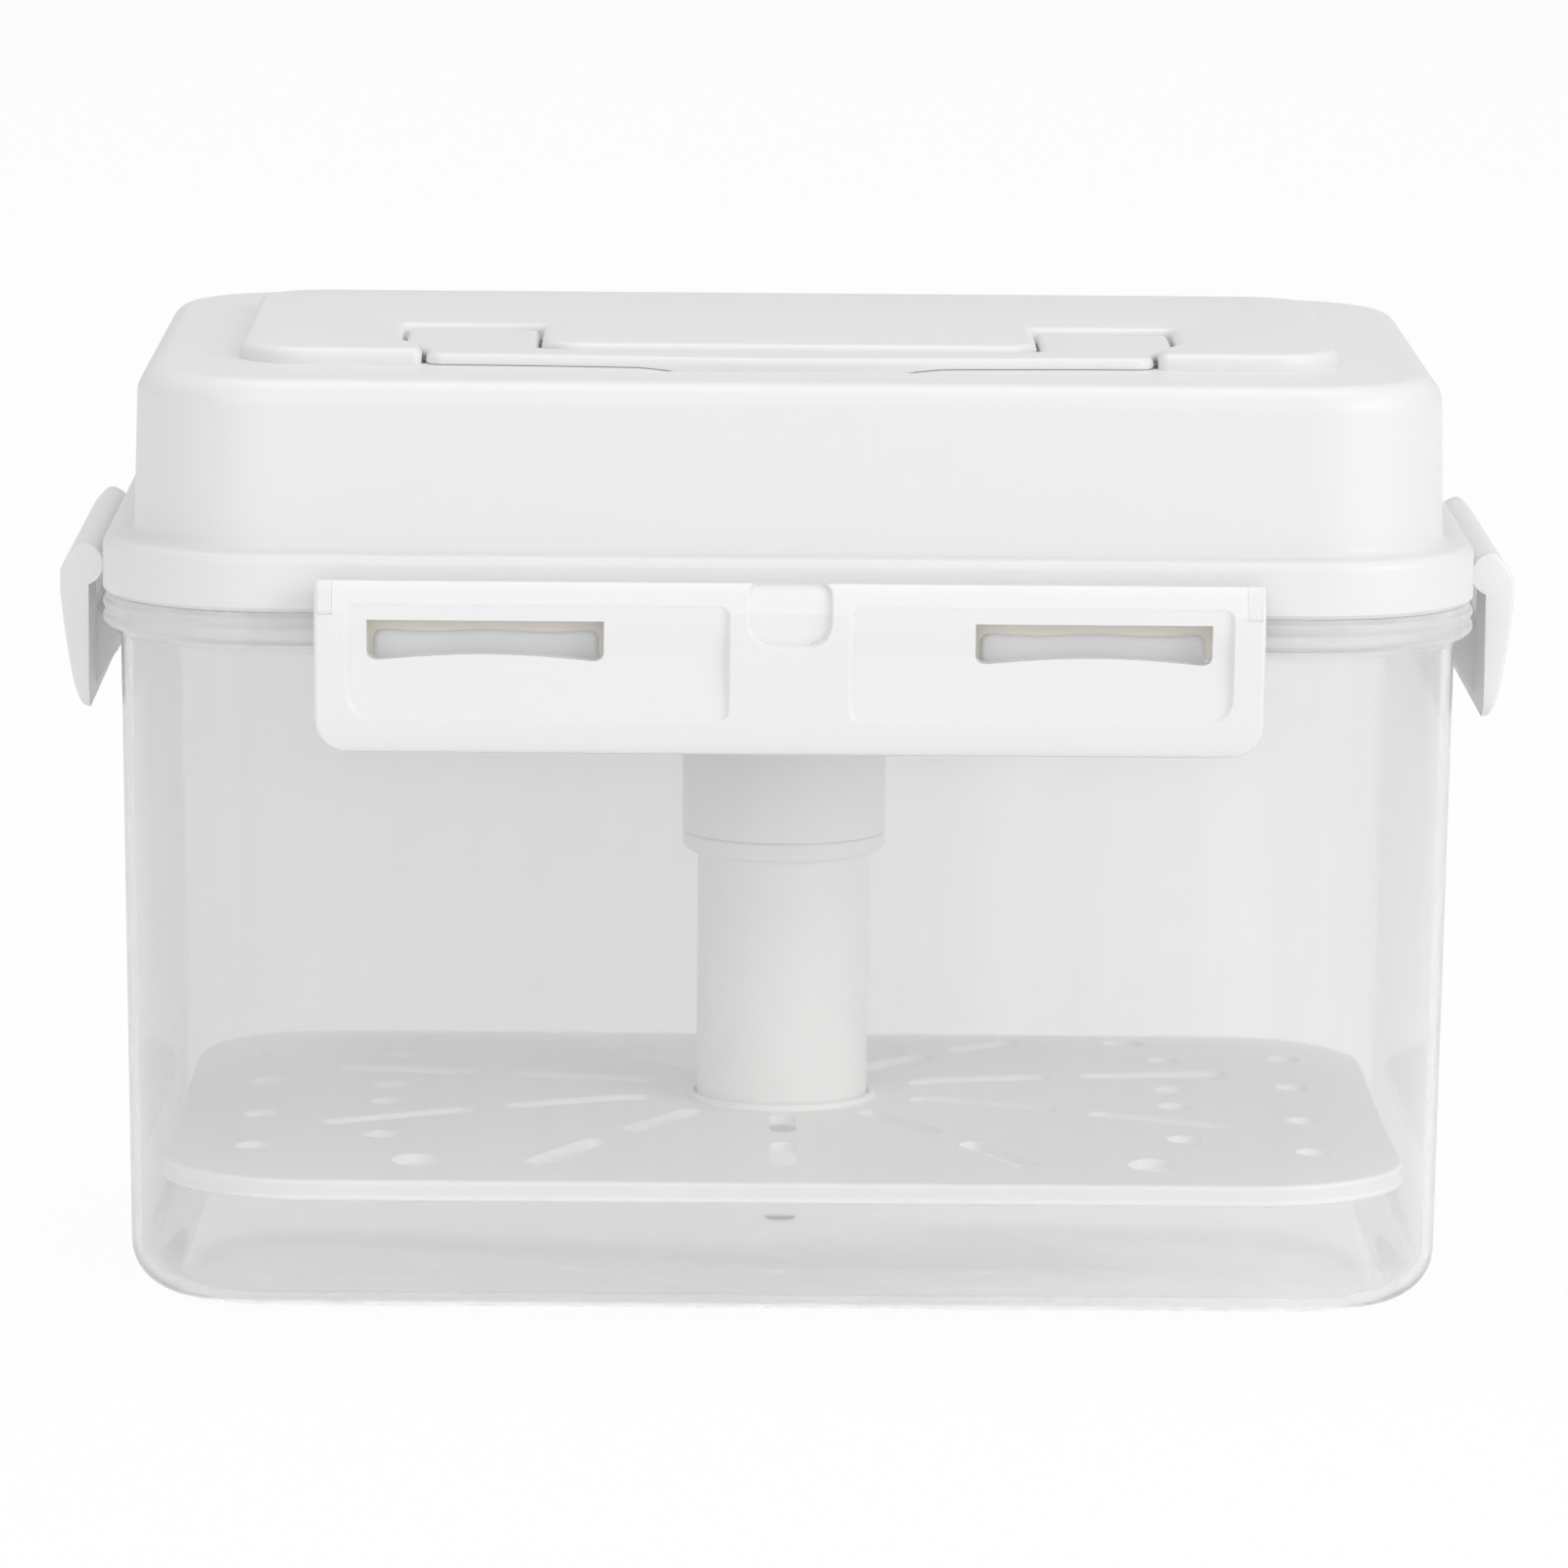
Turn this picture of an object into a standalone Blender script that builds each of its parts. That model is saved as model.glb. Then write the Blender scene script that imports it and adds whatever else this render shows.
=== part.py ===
"""Pickle container: a clear box, a tall lid held by four latches, and a spring press under the lid.

Every solid is its own object. Lengths are in metres, +Z is up and the front faces -Y.
Inward offsets are measured from the outline of the lid's flange; distances called "out" are
measured outwards from the flange's face.
"""
import math

import bmesh
import bpy
from mathutils import Matrix, Vector

# Plan outline of the lid's flange, which every shell follows at an inward offset
PLAN_HALF_X = 0.1425
PLAN_HALF_Y = 0.0980
PLAN_RADIUS = 0.0360
CORNER_STEPS = 6
SMOOTH_ANGLE = 35.0

# Clearance between pieces that touch, and the length by which a cut passes a face
SEAT_GAP = 0.0003
CUT_OVERRUN = 0.0010

# Clear container
RIM_TOP = 0.1472
RIM_HEIGHT = 0.0067
RIM_CHAMFER = 0.0008
BODY_TOP_INSET = 0.0036
BODY_DRAFT = 0.0021
BODY_WALL = 0.0022
BODY_FLOOR = 0.0025
BODY_BASE_FILLET = 0.0100
LIP_HEIGHT = 0.0065
FILLET_STEPS = 4

# Lid: flange, plug that enters the container, and tall dome
FLANGE_HEIGHT = 0.0118
FLANGE_PLATE = 0.0023
FLANGE_FILLET = 0.0020
FILLET_MIDDLE_SHARE = 0.30
SKIRT_WALL = 0.0022
PLUG_INSET = 0.0063
PLUG_WALL = 0.0020
PLUG_DEPTH = 0.0045
DOME_HEIGHT = 0.0350
DOME_STEP = 0.0005
DOME_DRAFT = 0.0006
DOME_FOOT_FILLET = 0.0016
DOME_TOP_FILLET = 0.0055
DOME_WALL = 0.0022

# Seat ring under the dome, which carries the press
SEAT_RING_OUTER = 0.0380
SEAT_RING_INNER = 0.0300

# Handle well in the dome's top
WELL_HALF_X = 0.0815
WELL_BACK = 0.0095
WELL_FRONT = 0.0565
WELL_DEPTH = 0.0072
WELL_FLOOR = 0.0023
WELL_WALL = 0.0040

# Raised cover around the handle
PANEL_HALF_X = 0.1150
PANEL_HALF_Y = 0.0600
PANEL_RADIUS = 0.0150
PANEL_THICKNESS = 0.0031
PANEL_EDGE = 0.0008
PANEL_TAPER = 0.0049
PANEL_TAPER_FROM = 0.0445
PANEL_TAPER_TO = 0.0575
TONGUE_SIDE_GAP = 0.0010
TONGUE_CORNER = 0.0080
TONGUE_GAP = 0.0008
PEG_RADIUS = 0.0025
PEG_LENGTH = 0.0030
PEG_X_SHARE = 0.86
PEG_Y_SHARE = 0.70

# Carrying handle
HANDLE_SIDE_GAP = 0.0022
HANDLE_DROP = 0.0010
HANDLE_THICKNESS = 0.0050
HANDLE_ARM_WIDTH = 0.0266
HANDLE_TAPER = 0.0041
HANDLE_TAPER_FROM = 0.0370
HANDLE_TAPER_TO = 0.0480
HANDLE_GRIP_BACK = 0.0473
HANDLE_SWELL = 0.0042
HANDLE_CORNER = 0.0070
HANDLE_WELL_GAP = 0.0012
PIVOT_BACK_GAP = 0.0070
PIVOT_DEPTH = 0.0030
PIVOT_EYE_RADIUS = 0.0028
HANDLE_PIN_RADIUS = 0.0015
HANDLE_PIN_LENGTH = 0.0150
HANDLE_PIN_BITE = 0.0031
SWELL_STEPS = 10
TAPER_STEPS = 6

# Lip under the middle of the grip, and the scoop in the dome that it sits in
LIP_HALF = 0.0330
LIP_FLAT_SHARE = 0.40
LIP_DROP = 0.0018
SCOOP_REACH = 0.0040

# Latches: the hinge line and the cross-section
HINGE_OUT = 0.0055
HINGE_RISE = 0.0030
BARREL_RADIUS = 0.0045
LATCH_DROP = 0.0310
LATCH_INNER = 0.0015
LATCH_CORNER = 0.0070
LATCH_CORNER_ANGLE = 82.0
LATCH_TIP_SHARES = ((1.0, 0.25), (0.88, 0.38), (0.70, 0.57), (0.46, 0.74), (0.16, 0.89), (-0.10, 0.975),
                    (-0.24, 1.0))
LATCH_TIP_INNER_SHARE = 0.965
LATCH_PIN_RADIUS = 0.0012
EAR_WIDTH = 0.0030
EAR_NECK_HALF = 0.0020
LONG_LATCH_HALF = 0.0969
SHORT_LATCH_HALF = 0.0480
SLOT_LENGTH = 0.0483
SLOT_HEIGHT = 0.0084
SLOT_TOP = 0.0031
SLOT_ARCH = 0.0011
SLOT_END_GAP = 0.01075
LONG_RECESS_END_GAP = 0.0071
SHORT_RECESS_END_GAP = 0.0096
RECESS_TOP = 0.0008
RECESS_BOTTOM = 0.0231
RECESS_DEEP = 0.0022
RECESS_LOW_DEEP = 0.0030
RECESS_START = 0.0130
RECESS_MARGIN = 0.0005
NOTCH_HALF = 0.0081
NOTCH_BOTTOM = 0.0077
NOTCH_DEPTH = 0.0018
HOOK_REACH = 0.0058
HOOK_DROP = 0.0194
HOOK_SLOPE_SHARE = 0.60
HOOK_FOOT_SHARE = 0.97

# Lugs on the container, which the hooks catch under
LUG_OUT = 0.0012
LUG_CLEARANCE = 0.0005
LUG_SLOPE_SHARE = 0.45
LUG_TOP_DROP = 0.0012
LUG_END_GAP = 0.0009

# Press: sleeve under the lid, bush, sliding tube, spring and perforated plate
SLEEVE_RADIUS = 0.0218
SLEEVE_WALL = 0.0016
SLEEVE_LENGTH = 0.0962
SLEEVE_FLANGE_RADIUS = 0.0370
SLEEVE_FLANGE = 0.0025
SLEEVE_SCREW_CIRCLE = 0.0340
SCREW_RADIUS = 0.0013
SCREW_HEAD_RADIUS = 0.0026
SCREW_HEAD = 0.0018
SCREW_CROWN_SHARE = 0.70
SCREW_BITE = 0.0055
SCREW_COUNT = 4
BUSH_LIP = 0.0040
BUSH_CHAMFER = 0.0014
BUSH_LENGTH = 0.0200
CAP_RADIUS = 0.0240
CAP_THICKNESS = 0.0017
CAP_SPIGOT_RADIUS = 0.0105
CAP_SPIGOT = 0.0060
TUBE_RADIUS = 0.0184
TUBE_WALL = 0.0018
TUBE_FLOOR = 0.0030
STOP_RING_HEIGHT = 0.0047
STOP_REBATE = 0.0008
SPIGOT_RADIUS = 0.0077
SPIGOT_LENGTH = 0.0085
PLATE_EDGE_GAP = 0.0034
PLATE_RADIUS = 0.0330
PLATE_EDGE_TOP = 0.0274
PLATE_CROWN = 0.0036
PLATE_THICKNESS = 0.0022
PLATE_SKIRT = 0.0045
PLATE_EDGE_ROUND = 0.0010
PLATE_FAN = 28
FAN_CLEAR_SHARE = 0.33
PLATE_RING_SHARES = (0.8, 0.6, 0.4, 0.2, 0.06)
HUB_RADIUS = 0.0235
HUB_DIP = 0.0012
HUB_RING = 0.0016
HUB_RING_HEIGHT = 0.0012
NUT_RADIUS = 0.0140
NUT_HEIGHT = 0.0055
SPRING_RADIUS = 0.0135
SPRING_WIRE = 0.0008
SPRING_TURNS = 12
SPRING_POINTS = 10
ROUND_STEPS = 32
SMALL_STEPS = 12

# Slots and holes in the plate
SLOT_SPOKES = 10
SPOKE_SLOT_WIDTH = 0.0058
INNER_SLOT_FROM = 0.0290
INNER_SLOT_TO = 0.0620
SHORT_SLOT_TO = 0.0560
OUTER_SLOT_FROM = 0.0690
OUTER_SLOT_TO = 0.1030
SIDE_SLOT_FROM = 0.0650
SIDE_SLOT_TO = 0.0900
FRONT_INNER_SLOT_TO = 0.0460
FRONT_OUTER_SLOT_FROM = 0.0540
FRONT_OUTER_SLOT_TO = 0.0730
FRONT_SPOKE_SHARE = 0.99
STEEP_SPOKE_SHARE = 0.50
HOLE_RADIUS = 0.0038
CORNER_HOLE_RADIUS = 0.0050
HOLE_SIDES = 8
NEAR_HOLES_X = 0.0850
FAR_HOLES_X = 0.1120
NEAR_HOLES_Y_SHARES = (0.11, 0.53)
FAR_HOLES_Y_SHARES = (0.22, 0.62)
CORNER_HOLE_X = 0.0770
CORNER_HOLE_Y_SHARE = 0.81

# Heights and places worked out from the sizes above
FLANGE_BOTTOM = RIM_TOP + SEAT_GAP
FLANGE_TOP = FLANGE_BOTTOM + FLANGE_HEIGHT
CHANNEL_TOP = FLANGE_TOP - FLANGE_PLATE
LIP_TOP = RIM_TOP + LIP_HEIGHT
DOME_TOP = FLANGE_TOP + DOME_HEIGHT
DOME_UNDER = DOME_TOP - DOME_WALL
DOME_INSET = PLUG_INSET + PLUG_WALL + DOME_STEP - DOME_WALL
PANEL_BOTTOM = DOME_TOP + SEAT_GAP
PANEL_TOP = PANEL_BOTTOM + PANEL_THICKNESS
WELL_BOTTOM = DOME_TOP - WELL_DEPTH
SEAT_LEVEL = WELL_BOTTOM - WELL_FLOOR
HINGE_HEIGHT = FLANGE_BOTTOM + HINGE_RISE
LATCH_OUTER = BARREL_RADIUS
PIVOT_Y = -(WELL_BACK + PIVOT_BACK_GAP)
PIVOT_Z = DOME_TOP - PIVOT_DEPTH
HANDLE_TOP = PANEL_TOP - HANDLE_DROP
HANDLE_BOTTOM = HANDLE_TOP - HANDLE_THICKNESS
HANDLE_HALF = WELL_HALF_X - HANDLE_SIDE_GAP
TONGUE_HALF_X = HANDLE_HALF - HANDLE_ARM_WIDTH - TONGUE_SIDE_GAP
LONG_SLOT_CENTRE = LONG_LATCH_HALF - SLOT_END_GAP - SLOT_LENGTH / 2
SLEEVE_TOP = SEAT_LEVEL - SEAT_GAP
SLEEVE_BOTTOM = SLEEVE_TOP - SLEEVE_LENGTH
SLEEVE_BORE = SLEEVE_RADIUS - SLEEVE_WALL
CAP_BOTTOM = SLEEVE_TOP - CAP_THICKNESS
BUSH_BOTTOM = SLEEVE_BOTTOM - SEAT_GAP - BUSH_LIP
BUSH_TOP = BUSH_BOTTOM + BUSH_LENGTH
TUBE_TOP = BUSH_TOP + SEAT_GAP + STOP_RING_HEIGHT
PLATE_HALF_X = PLAN_HALF_X - BODY_TOP_INSET - BODY_DRAFT - BODY_WALL - PLATE_EDGE_GAP
PLATE_HALF_Y = PLAN_HALF_Y - BODY_TOP_INSET - BODY_DRAFT - BODY_WALL - PLATE_EDGE_GAP
HUB_TOP = PLATE_EDGE_TOP + PLATE_CROWN - HUB_DIP
TUBE_BOTTOM = HUB_TOP + SEAT_GAP


def clear_scene():
    for old in list(bpy.data.objects):
        bpy.data.objects.remove(old, do_unlink=True)


def make_material(name, colour, roughness, metallic=0.0, alpha=1.0):
    material = bpy.data.materials.new(name)
    material.use_nodes = True
    shader = material.node_tree.nodes["Principled BSDF"]
    shader.inputs["Base Color"].default_value = (*colour, 1.0)
    shader.inputs["Roughness"].default_value = roughness
    shader.inputs["Metallic"].default_value = metallic
    shader.inputs["Alpha"].default_value = alpha
    return material


def mesh_object(name, vertices, faces):
    """One object from points and faces, with every face turned outwards."""
    mesh = bpy.data.meshes.new(name)
    mesh.from_pydata([tuple(v) for v in vertices], [], faces)
    work = bmesh.new()
    work.from_mesh(mesh)
    bmesh.ops.recalc_face_normals(work, faces=work.faces)
    work.to_mesh(mesh)
    work.free()
    piece = bpy.data.objects.new(name, mesh)
    bpy.context.collection.objects.link(piece)
    return piece


def loft(name, rings, loop=False):
    """Skin between rings of equal count. A loop joins the last ring to the first; else both are capped."""
    count = len(rings[0])
    vertices = [point for ring in rings for point in ring]
    faces = []
    pairs = len(rings) if loop else len(rings) - 1
    for ring in range(pairs):
        low = ring * count
        high = ((ring + 1) % len(rings)) * count
        for side in range(count):
            after = (side + 1) % count
            faces.append((low + side, low + after, high + after, high + side))
    if not loop:
        faces.append(tuple(range(count)))
        faces.append(tuple(range(len(vertices) - count, len(vertices))))
    return mesh_object(name, vertices, faces)


def rounded_rectangle(half_x, half_y, radius, steps=CORNER_STEPS):
    """Corner arcs of a rounded rectangle, counter-clockwise."""
    points = []
    for quarter, (side_x, side_y) in enumerate(((1, 1), (-1, 1), (-1, -1), (1, -1))):
        for step in range(steps + 1):
            angle = math.radians(90 * (quarter + step / steps))
            points.append((side_x * (half_x - radius) + radius * math.cos(angle),
                           side_y * (half_y - radius) + radius * math.sin(angle)))
    return points


def shell_ring(inset, height):
    """The flange's outline drawn in by an inset, at a height."""
    outline = rounded_rectangle(PLAN_HALF_X - inset, PLAN_HALF_Y - inset, PLAN_RADIUS - inset)
    return [(x, y, height) for x, y in outline]


def circle(radius, height, steps=ROUND_STEPS):
    return [(radius * math.cos(math.tau * k / steps), radius * math.sin(math.tau * k / steps), height)
            for k in range(steps)]


def turned(name, profile, loop=True, steps=ROUND_STEPS):
    """A round piece about the Z axis from (radius, height) points."""
    return loft(name, [circle(radius, height, steps) for radius, height in profile], loop)


def prism(name, outline, low, high, axis):
    """An outline carried along X, Y or Z between two stations."""
    place = {
        "X": lambda a, b, c: (c, a, b),
        "Y": lambda a, b, c: (a, c, b),
        "Z": lambda a, b, c: (a, b, c),
    }[axis]
    return loft(name, [[place(a, b, station) for a, b in outline] for station in (low, high)])


def box(name, low, high):
    outline = [(low[0], low[1]), (high[0], low[1]), (high[0], high[1]), (low[0], high[1])]
    return prism(name, outline, low[2], high[2], "Z")


def rod(name, radius, low, high, axis, centre, steps=SMALL_STEPS):
    """A round rod along X, Y or Z through a centre given in the two other directions."""
    outline = [(centre[0] + radius * math.cos(math.tau * k / steps),
                centre[1] + radius * math.sin(math.tau * k / steps)) for k in range(steps)]
    return prism(name, outline, low, high, axis)


def arc(centre, radius, start, end, steps):
    """Points on an arc between two angles in degrees."""
    points = []
    for step in range(steps + 1):
        angle = math.radians(start + (end - start) * step / steps)
        points.append((centre[0] + radius * math.cos(angle), centre[1] + radius * math.sin(angle)))
    return points


def combine(target, tools, operation):
    """Apply one exact Boolean for each tool, then drop the tools."""
    for tool in tools:
        step = target.modifiers.new("combine", "BOOLEAN")
        step.object = tool
        step.operation = operation
        step.solver = "EXACT"
        graph = bpy.context.evaluated_depsgraph_get()
        result = bpy.data.meshes.new_from_object(target.evaluated_get(graph))
        target.modifiers.clear()
        target.data = result
        bpy.data.objects.remove(tool, do_unlink=True)
    return target


def join(name, pieces):
    """Several separate bodies in one mesh."""
    work = bmesh.new()
    for piece in pieces:
        work.from_mesh(piece.data)
    mesh = bpy.data.meshes.new(name)
    work.to_mesh(mesh)
    work.free()
    for piece in pieces:
        bpy.data.objects.remove(piece, do_unlink=True)
    joined = bpy.data.objects.new(name, mesh)
    bpy.context.collection.objects.link(joined)
    return joined


def finish(piece, material):
    piece.data.materials.clear()
    piece.data.materials.append(material)
    piece.data.shade_smooth()
    piece.data.set_sharp_from_angle(angle=math.radians(SMOOTH_ANGLE))
    return piece


def set_origin(piece, origin):
    """Move the object's origin to a point and leave its shape where it is."""
    piece.data.transform(Matrix.Translation(-Vector(origin)))
    piece.location = origin
    return piece


def body_inset(height):
    """Inward offset of the container's outer wall, which leans in towards the base."""
    return BODY_TOP_INSET + BODY_DRAFT * (1 - height / RIM_TOP)


def make_container(material):
    base_inset = body_inset(0)
    inner_fillet = BODY_BASE_FILLET - BODY_WALL
    profile = []
    for step in range(FILLET_STEPS + 1):
        angle = math.radians(90 * step / FILLET_STEPS)
        profile.append((base_inset + BODY_BASE_FILLET * (1 - math.sin(angle)),
                        BODY_BASE_FILLET * (1 - math.cos(angle))))
    rim_bottom = RIM_TOP - RIM_HEIGHT
    profile += [(body_inset(rim_bottom), rim_bottom), (RIM_CHAMFER, rim_bottom),
                (0, rim_bottom + RIM_CHAMFER), (0, RIM_TOP), (BODY_TOP_INSET, RIM_TOP),
                (BODY_TOP_INSET, LIP_TOP), (BODY_TOP_INSET + BODY_WALL, LIP_TOP),
                (BODY_TOP_INSET + BODY_WALL, RIM_TOP)]
    for step in range(FILLET_STEPS, -1, -1):
        angle = math.radians(90 * step / FILLET_STEPS)
        profile.append((base_inset + BODY_WALL + inner_fillet * (1 - math.sin(angle)),
                        BODY_FLOOR + inner_fillet * (1 - math.cos(angle))))
    body = loft("container_body", [shell_ring(inset, height) for inset, height in profile])
    return finish(combine(body, make_lugs(), "UNION"), material)


def lug_outline():
    """Side view of a lug: (out, height) points, with a ramp under it that the hook slides along."""
    hook_out = HINGE_OUT - LATCH_INNER - HOOK_REACH
    hook_height = HINGE_HEIGHT - HOOK_DROP
    anchor = -(BODY_TOP_INSET + BODY_WALL / 2)
    ramp_out = hook_out - LUG_CLEARANCE
    ramp_low = hook_height + (anchor - ramp_out) / LUG_SLOPE_SHARE
    ramp_high = hook_height + (LUG_OUT - ramp_out) / LUG_SLOPE_SHARE
    top = RIM_TOP - LUG_TOP_DROP
    return [(anchor, ramp_low), (LUG_OUT, ramp_high), (LUG_OUT, top), (anchor, top)]


def lug_half():
    return SLOT_LENGTH / 2 - LUG_END_GAP


def make_lugs():
    lugs = []
    for side in (-1, 1):
        front = [(side * (PLAN_HALF_Y + out), height) for out, height in lug_outline()]
        for place in (-LONG_SLOT_CENTRE, LONG_SLOT_CENTRE):
            lugs.append(prism("lug", front, place - lug_half(), place + lug_half(), "X"))
        end = [(side * (PLAN_HALF_X + out), height) for out, height in lug_outline()]
        lugs.append(prism("lug", end, -lug_half(), lug_half(), "Y"))
    return lugs


def dome_profile(side_inset, foot, top, foot_fillet, top_fillet):
    """Wall of the dome from its foot to its flat top, as (inset, height) points."""
    points = []
    for step in range(FILLET_STEPS + 1):
        angle = math.radians(90 * step / FILLET_STEPS)
        points.append((side_inset - foot_fillet * (1 - math.sin(angle)),
                       foot + foot_fillet * (1 - math.cos(angle))))
    for step in range(FILLET_STEPS + 1):
        angle = math.radians(90 * step / FILLET_STEPS)
        points.append((side_inset + DOME_DRAFT + top_fillet * (1 - math.cos(angle)),
                       top - top_fillet * (1 - math.sin(angle))))
    return points


def make_lid(material):
    plug_bottom = FLANGE_BOTTOM - PLUG_DEPTH
    inner = PLUG_INSET + PLUG_WALL
    middle = FLANGE_FILLET * FILLET_MIDDLE_SHARE
    ceiling = dome_profile(DOME_INSET + DOME_WALL, CHANNEL_TOP, DOME_UNDER,
                           DOME_STEP, DOME_TOP_FILLET - DOME_WALL)
    profile = list(reversed(ceiling))
    profile += [(inner, plug_bottom), (PLUG_INSET, plug_bottom), (PLUG_INSET, CHANNEL_TOP),
                (SKIRT_WALL, CHANNEL_TOP), (SKIRT_WALL, FLANGE_BOTTOM), (0, FLANGE_BOTTOM),
                (0, FLANGE_TOP - FLANGE_FILLET), (middle, FLANGE_TOP - middle),
                (FLANGE_FILLET, FLANGE_TOP)]
    profile += dome_profile(DOME_INSET, FLANGE_TOP, DOME_TOP, DOME_FOOT_FILLET, DOME_TOP_FILLET)
    lid = loft("lid_shell", [shell_ring(inset, height) for inset, height in profile])
    into_dome = DOME_TOP - DOME_WALL / 2
    tray = box("tray", (-WELL_HALF_X - WELL_WALL, -WELL_FRONT - WELL_WALL, SEAT_LEVEL),
               (WELL_HALF_X + WELL_WALL, -WELL_BACK + WELL_WALL, into_dome))
    scoop_front = -PANEL_HALF_Y - HANDLE_SWELL - SCOOP_REACH
    boss = box("boss", (-LIP_HALF, scoop_front - DOME_WALL, DOME_TOP - LIP_DROP - DOME_WALL),
               (LIP_HALF, -WELL_FRONT, into_dome))
    ring = turned("ring", [(SEAT_RING_INNER, SEAT_LEVEL), (SEAT_RING_OUTER, SEAT_LEVEL),
                           (SEAT_RING_OUTER, into_dome), (SEAT_RING_INNER, into_dome)])
    combine(lid, [ring, tray, boss] + make_ears(), "UNION")
    well = box("well", (-WELL_HALF_X, -WELL_FRONT, WELL_BOTTOM),
               (WELL_HALF_X, -WELL_BACK, DOME_TOP + CUT_OVERRUN))
    scoop = prism("scoop", lip_outline(DOME_TOP, DOME_TOP + CUT_OVERRUN), scoop_front,
                  CUT_OVERRUN - WELL_FRONT, "Y")
    cuts = [well, scoop]
    for x, y in peg_places():
        cuts.append(rod("hole", PEG_RADIUS + SEAT_GAP, PANEL_BOTTOM - PEG_LENGTH - SEAT_GAP,
                        DOME_TOP + CUT_OVERRUN, "Z", (x, y)))
    for x, y in screw_places():
        cuts.append(rod("hole", SCREW_RADIUS + SEAT_GAP, SEAT_LEVEL - CUT_OVERRUN,
                        SEAT_LEVEL + SCREW_BITE, "Z", (x, y)))
    pin_end = WELL_HALF_X + HANDLE_PIN_BITE + SEAT_GAP
    for low, high in ((-pin_end, CUT_OVERRUN - WELL_HALF_X), (WELL_HALF_X - CUT_OVERRUN, pin_end)):
        cuts.append(rod("bore", HANDLE_PIN_RADIUS + SEAT_GAP, low, high, "X", (PIVOT_Y, PIVOT_Z)))
    cuts += make_ear_bores()
    return finish(combine(lid, cuts, "DIFFERENCE"), material)


def latch_sides():
    """Each latch: its turn about Z, half length and the distance from the centre to its hinge."""
    long_reach = PLAN_HALF_Y + HINGE_OUT
    short_reach = PLAN_HALF_X + HINGE_OUT
    return {
        "front": (0, LONG_LATCH_HALF, long_reach),
        "right": (90, SHORT_LATCH_HALF, short_reach),
        "rear": (180, LONG_LATCH_HALF, long_reach),
        "left": (270, SHORT_LATCH_HALF, short_reach),
    }


def turn(piece, degrees):
    piece.data.transform(Matrix.Rotation(math.radians(degrees), 4, "Z"))
    return piece


def make_ears():
    """Two ears for each latch, standing out of the flange round the ends of the hinge pin."""
    ears = []
    for degrees, half, reach in latch_sides().values():
        root = HINGE_OUT + SKIRT_WALL / 2
        neck = math.degrees(math.asin(EAR_NECK_HALF / BARREL_RADIUS))
        outline = [(-reach + root, HINGE_HEIGHT - EAR_NECK_HALF)]
        outline += arc((-reach, HINGE_HEIGHT), BARREL_RADIUS, -neck, neck - 360, SMALL_STEPS)
        outline += [(-reach + root, HINGE_HEIGHT + EAR_NECK_HALF)]
        for end in (-1, 1):
            stations = sorted((end * half, end * (half - EAR_WIDTH)))
            ears.append(turn(prism("ear", outline, *stations, "X"), degrees))
    return ears


def make_ear_bores():
    bores = []
    for degrees, half, reach in latch_sides().values():
        for end in (-1, 1):
            stations = sorted((end * (half + CUT_OVERRUN), end * (half - EAR_WIDTH - CUT_OVERRUN)))
            bore = rod("bore", LATCH_PIN_RADIUS + SEAT_GAP, *stations, "X", (-reach, HINGE_HEIGHT))
            bores.append(turn(bore, degrees))
    return bores


def latch_section():
    """Cross-section of a latch about its hinge, as (-Y is out, height): barrel, plate and curved tip."""
    neck = math.degrees(math.acos(LATCH_INNER / BARREL_RADIUS))
    tip = [(-out * LATCH_OUTER, -down * LATCH_DROP) for out, down in LATCH_TIP_SHARES]
    return (arc((0, 0), BARREL_RADIUS, -neck, 180, SMALL_STEPS) + tip
            + [(LATCH_INNER, -LATCH_TIP_INNER_SHARE * LATCH_DROP)])


def latch_face(half):
    """Front view of a latch's plate: square at the hinge, rounded at the lower corners."""
    low = -LATCH_DROP - CUT_OVERRUN
    base = -LATCH_DROP
    top = BARREL_RADIUS + CUT_OVERRUN
    points = [(half, top), (-half, top)]
    points += arc((LATCH_CORNER - half, base + LATCH_CORNER), LATCH_CORNER, 180,
                  180 + LATCH_CORNER_ANGLE, FILLET_STEPS)
    points += [(LATCH_CORNER - half, low), (half - LATCH_CORNER, low)]
    points += arc((half - LATCH_CORNER, base + LATCH_CORNER), LATCH_CORNER, 360 - LATCH_CORNER_ANGLE,
                  360, FILLET_STEPS)
    return points


def slot_outline(centre):
    """A latch slot in front view, with its lower edge arched up in the middle."""
    half = SLOT_LENGTH / 2
    low = -SLOT_TOP - SLOT_HEIGHT
    points = [(centre + half, -SLOT_TOP), (centre - half, -SLOT_TOP)]
    for step in range(FILLET_STEPS * 2 + 1):
        share = step / (FILLET_STEPS * 2)
        points.append((centre - half + SLOT_LENGTH * share,
                       low + SLOT_ARCH * math.sin(math.pi * share)))
    return points


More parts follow.
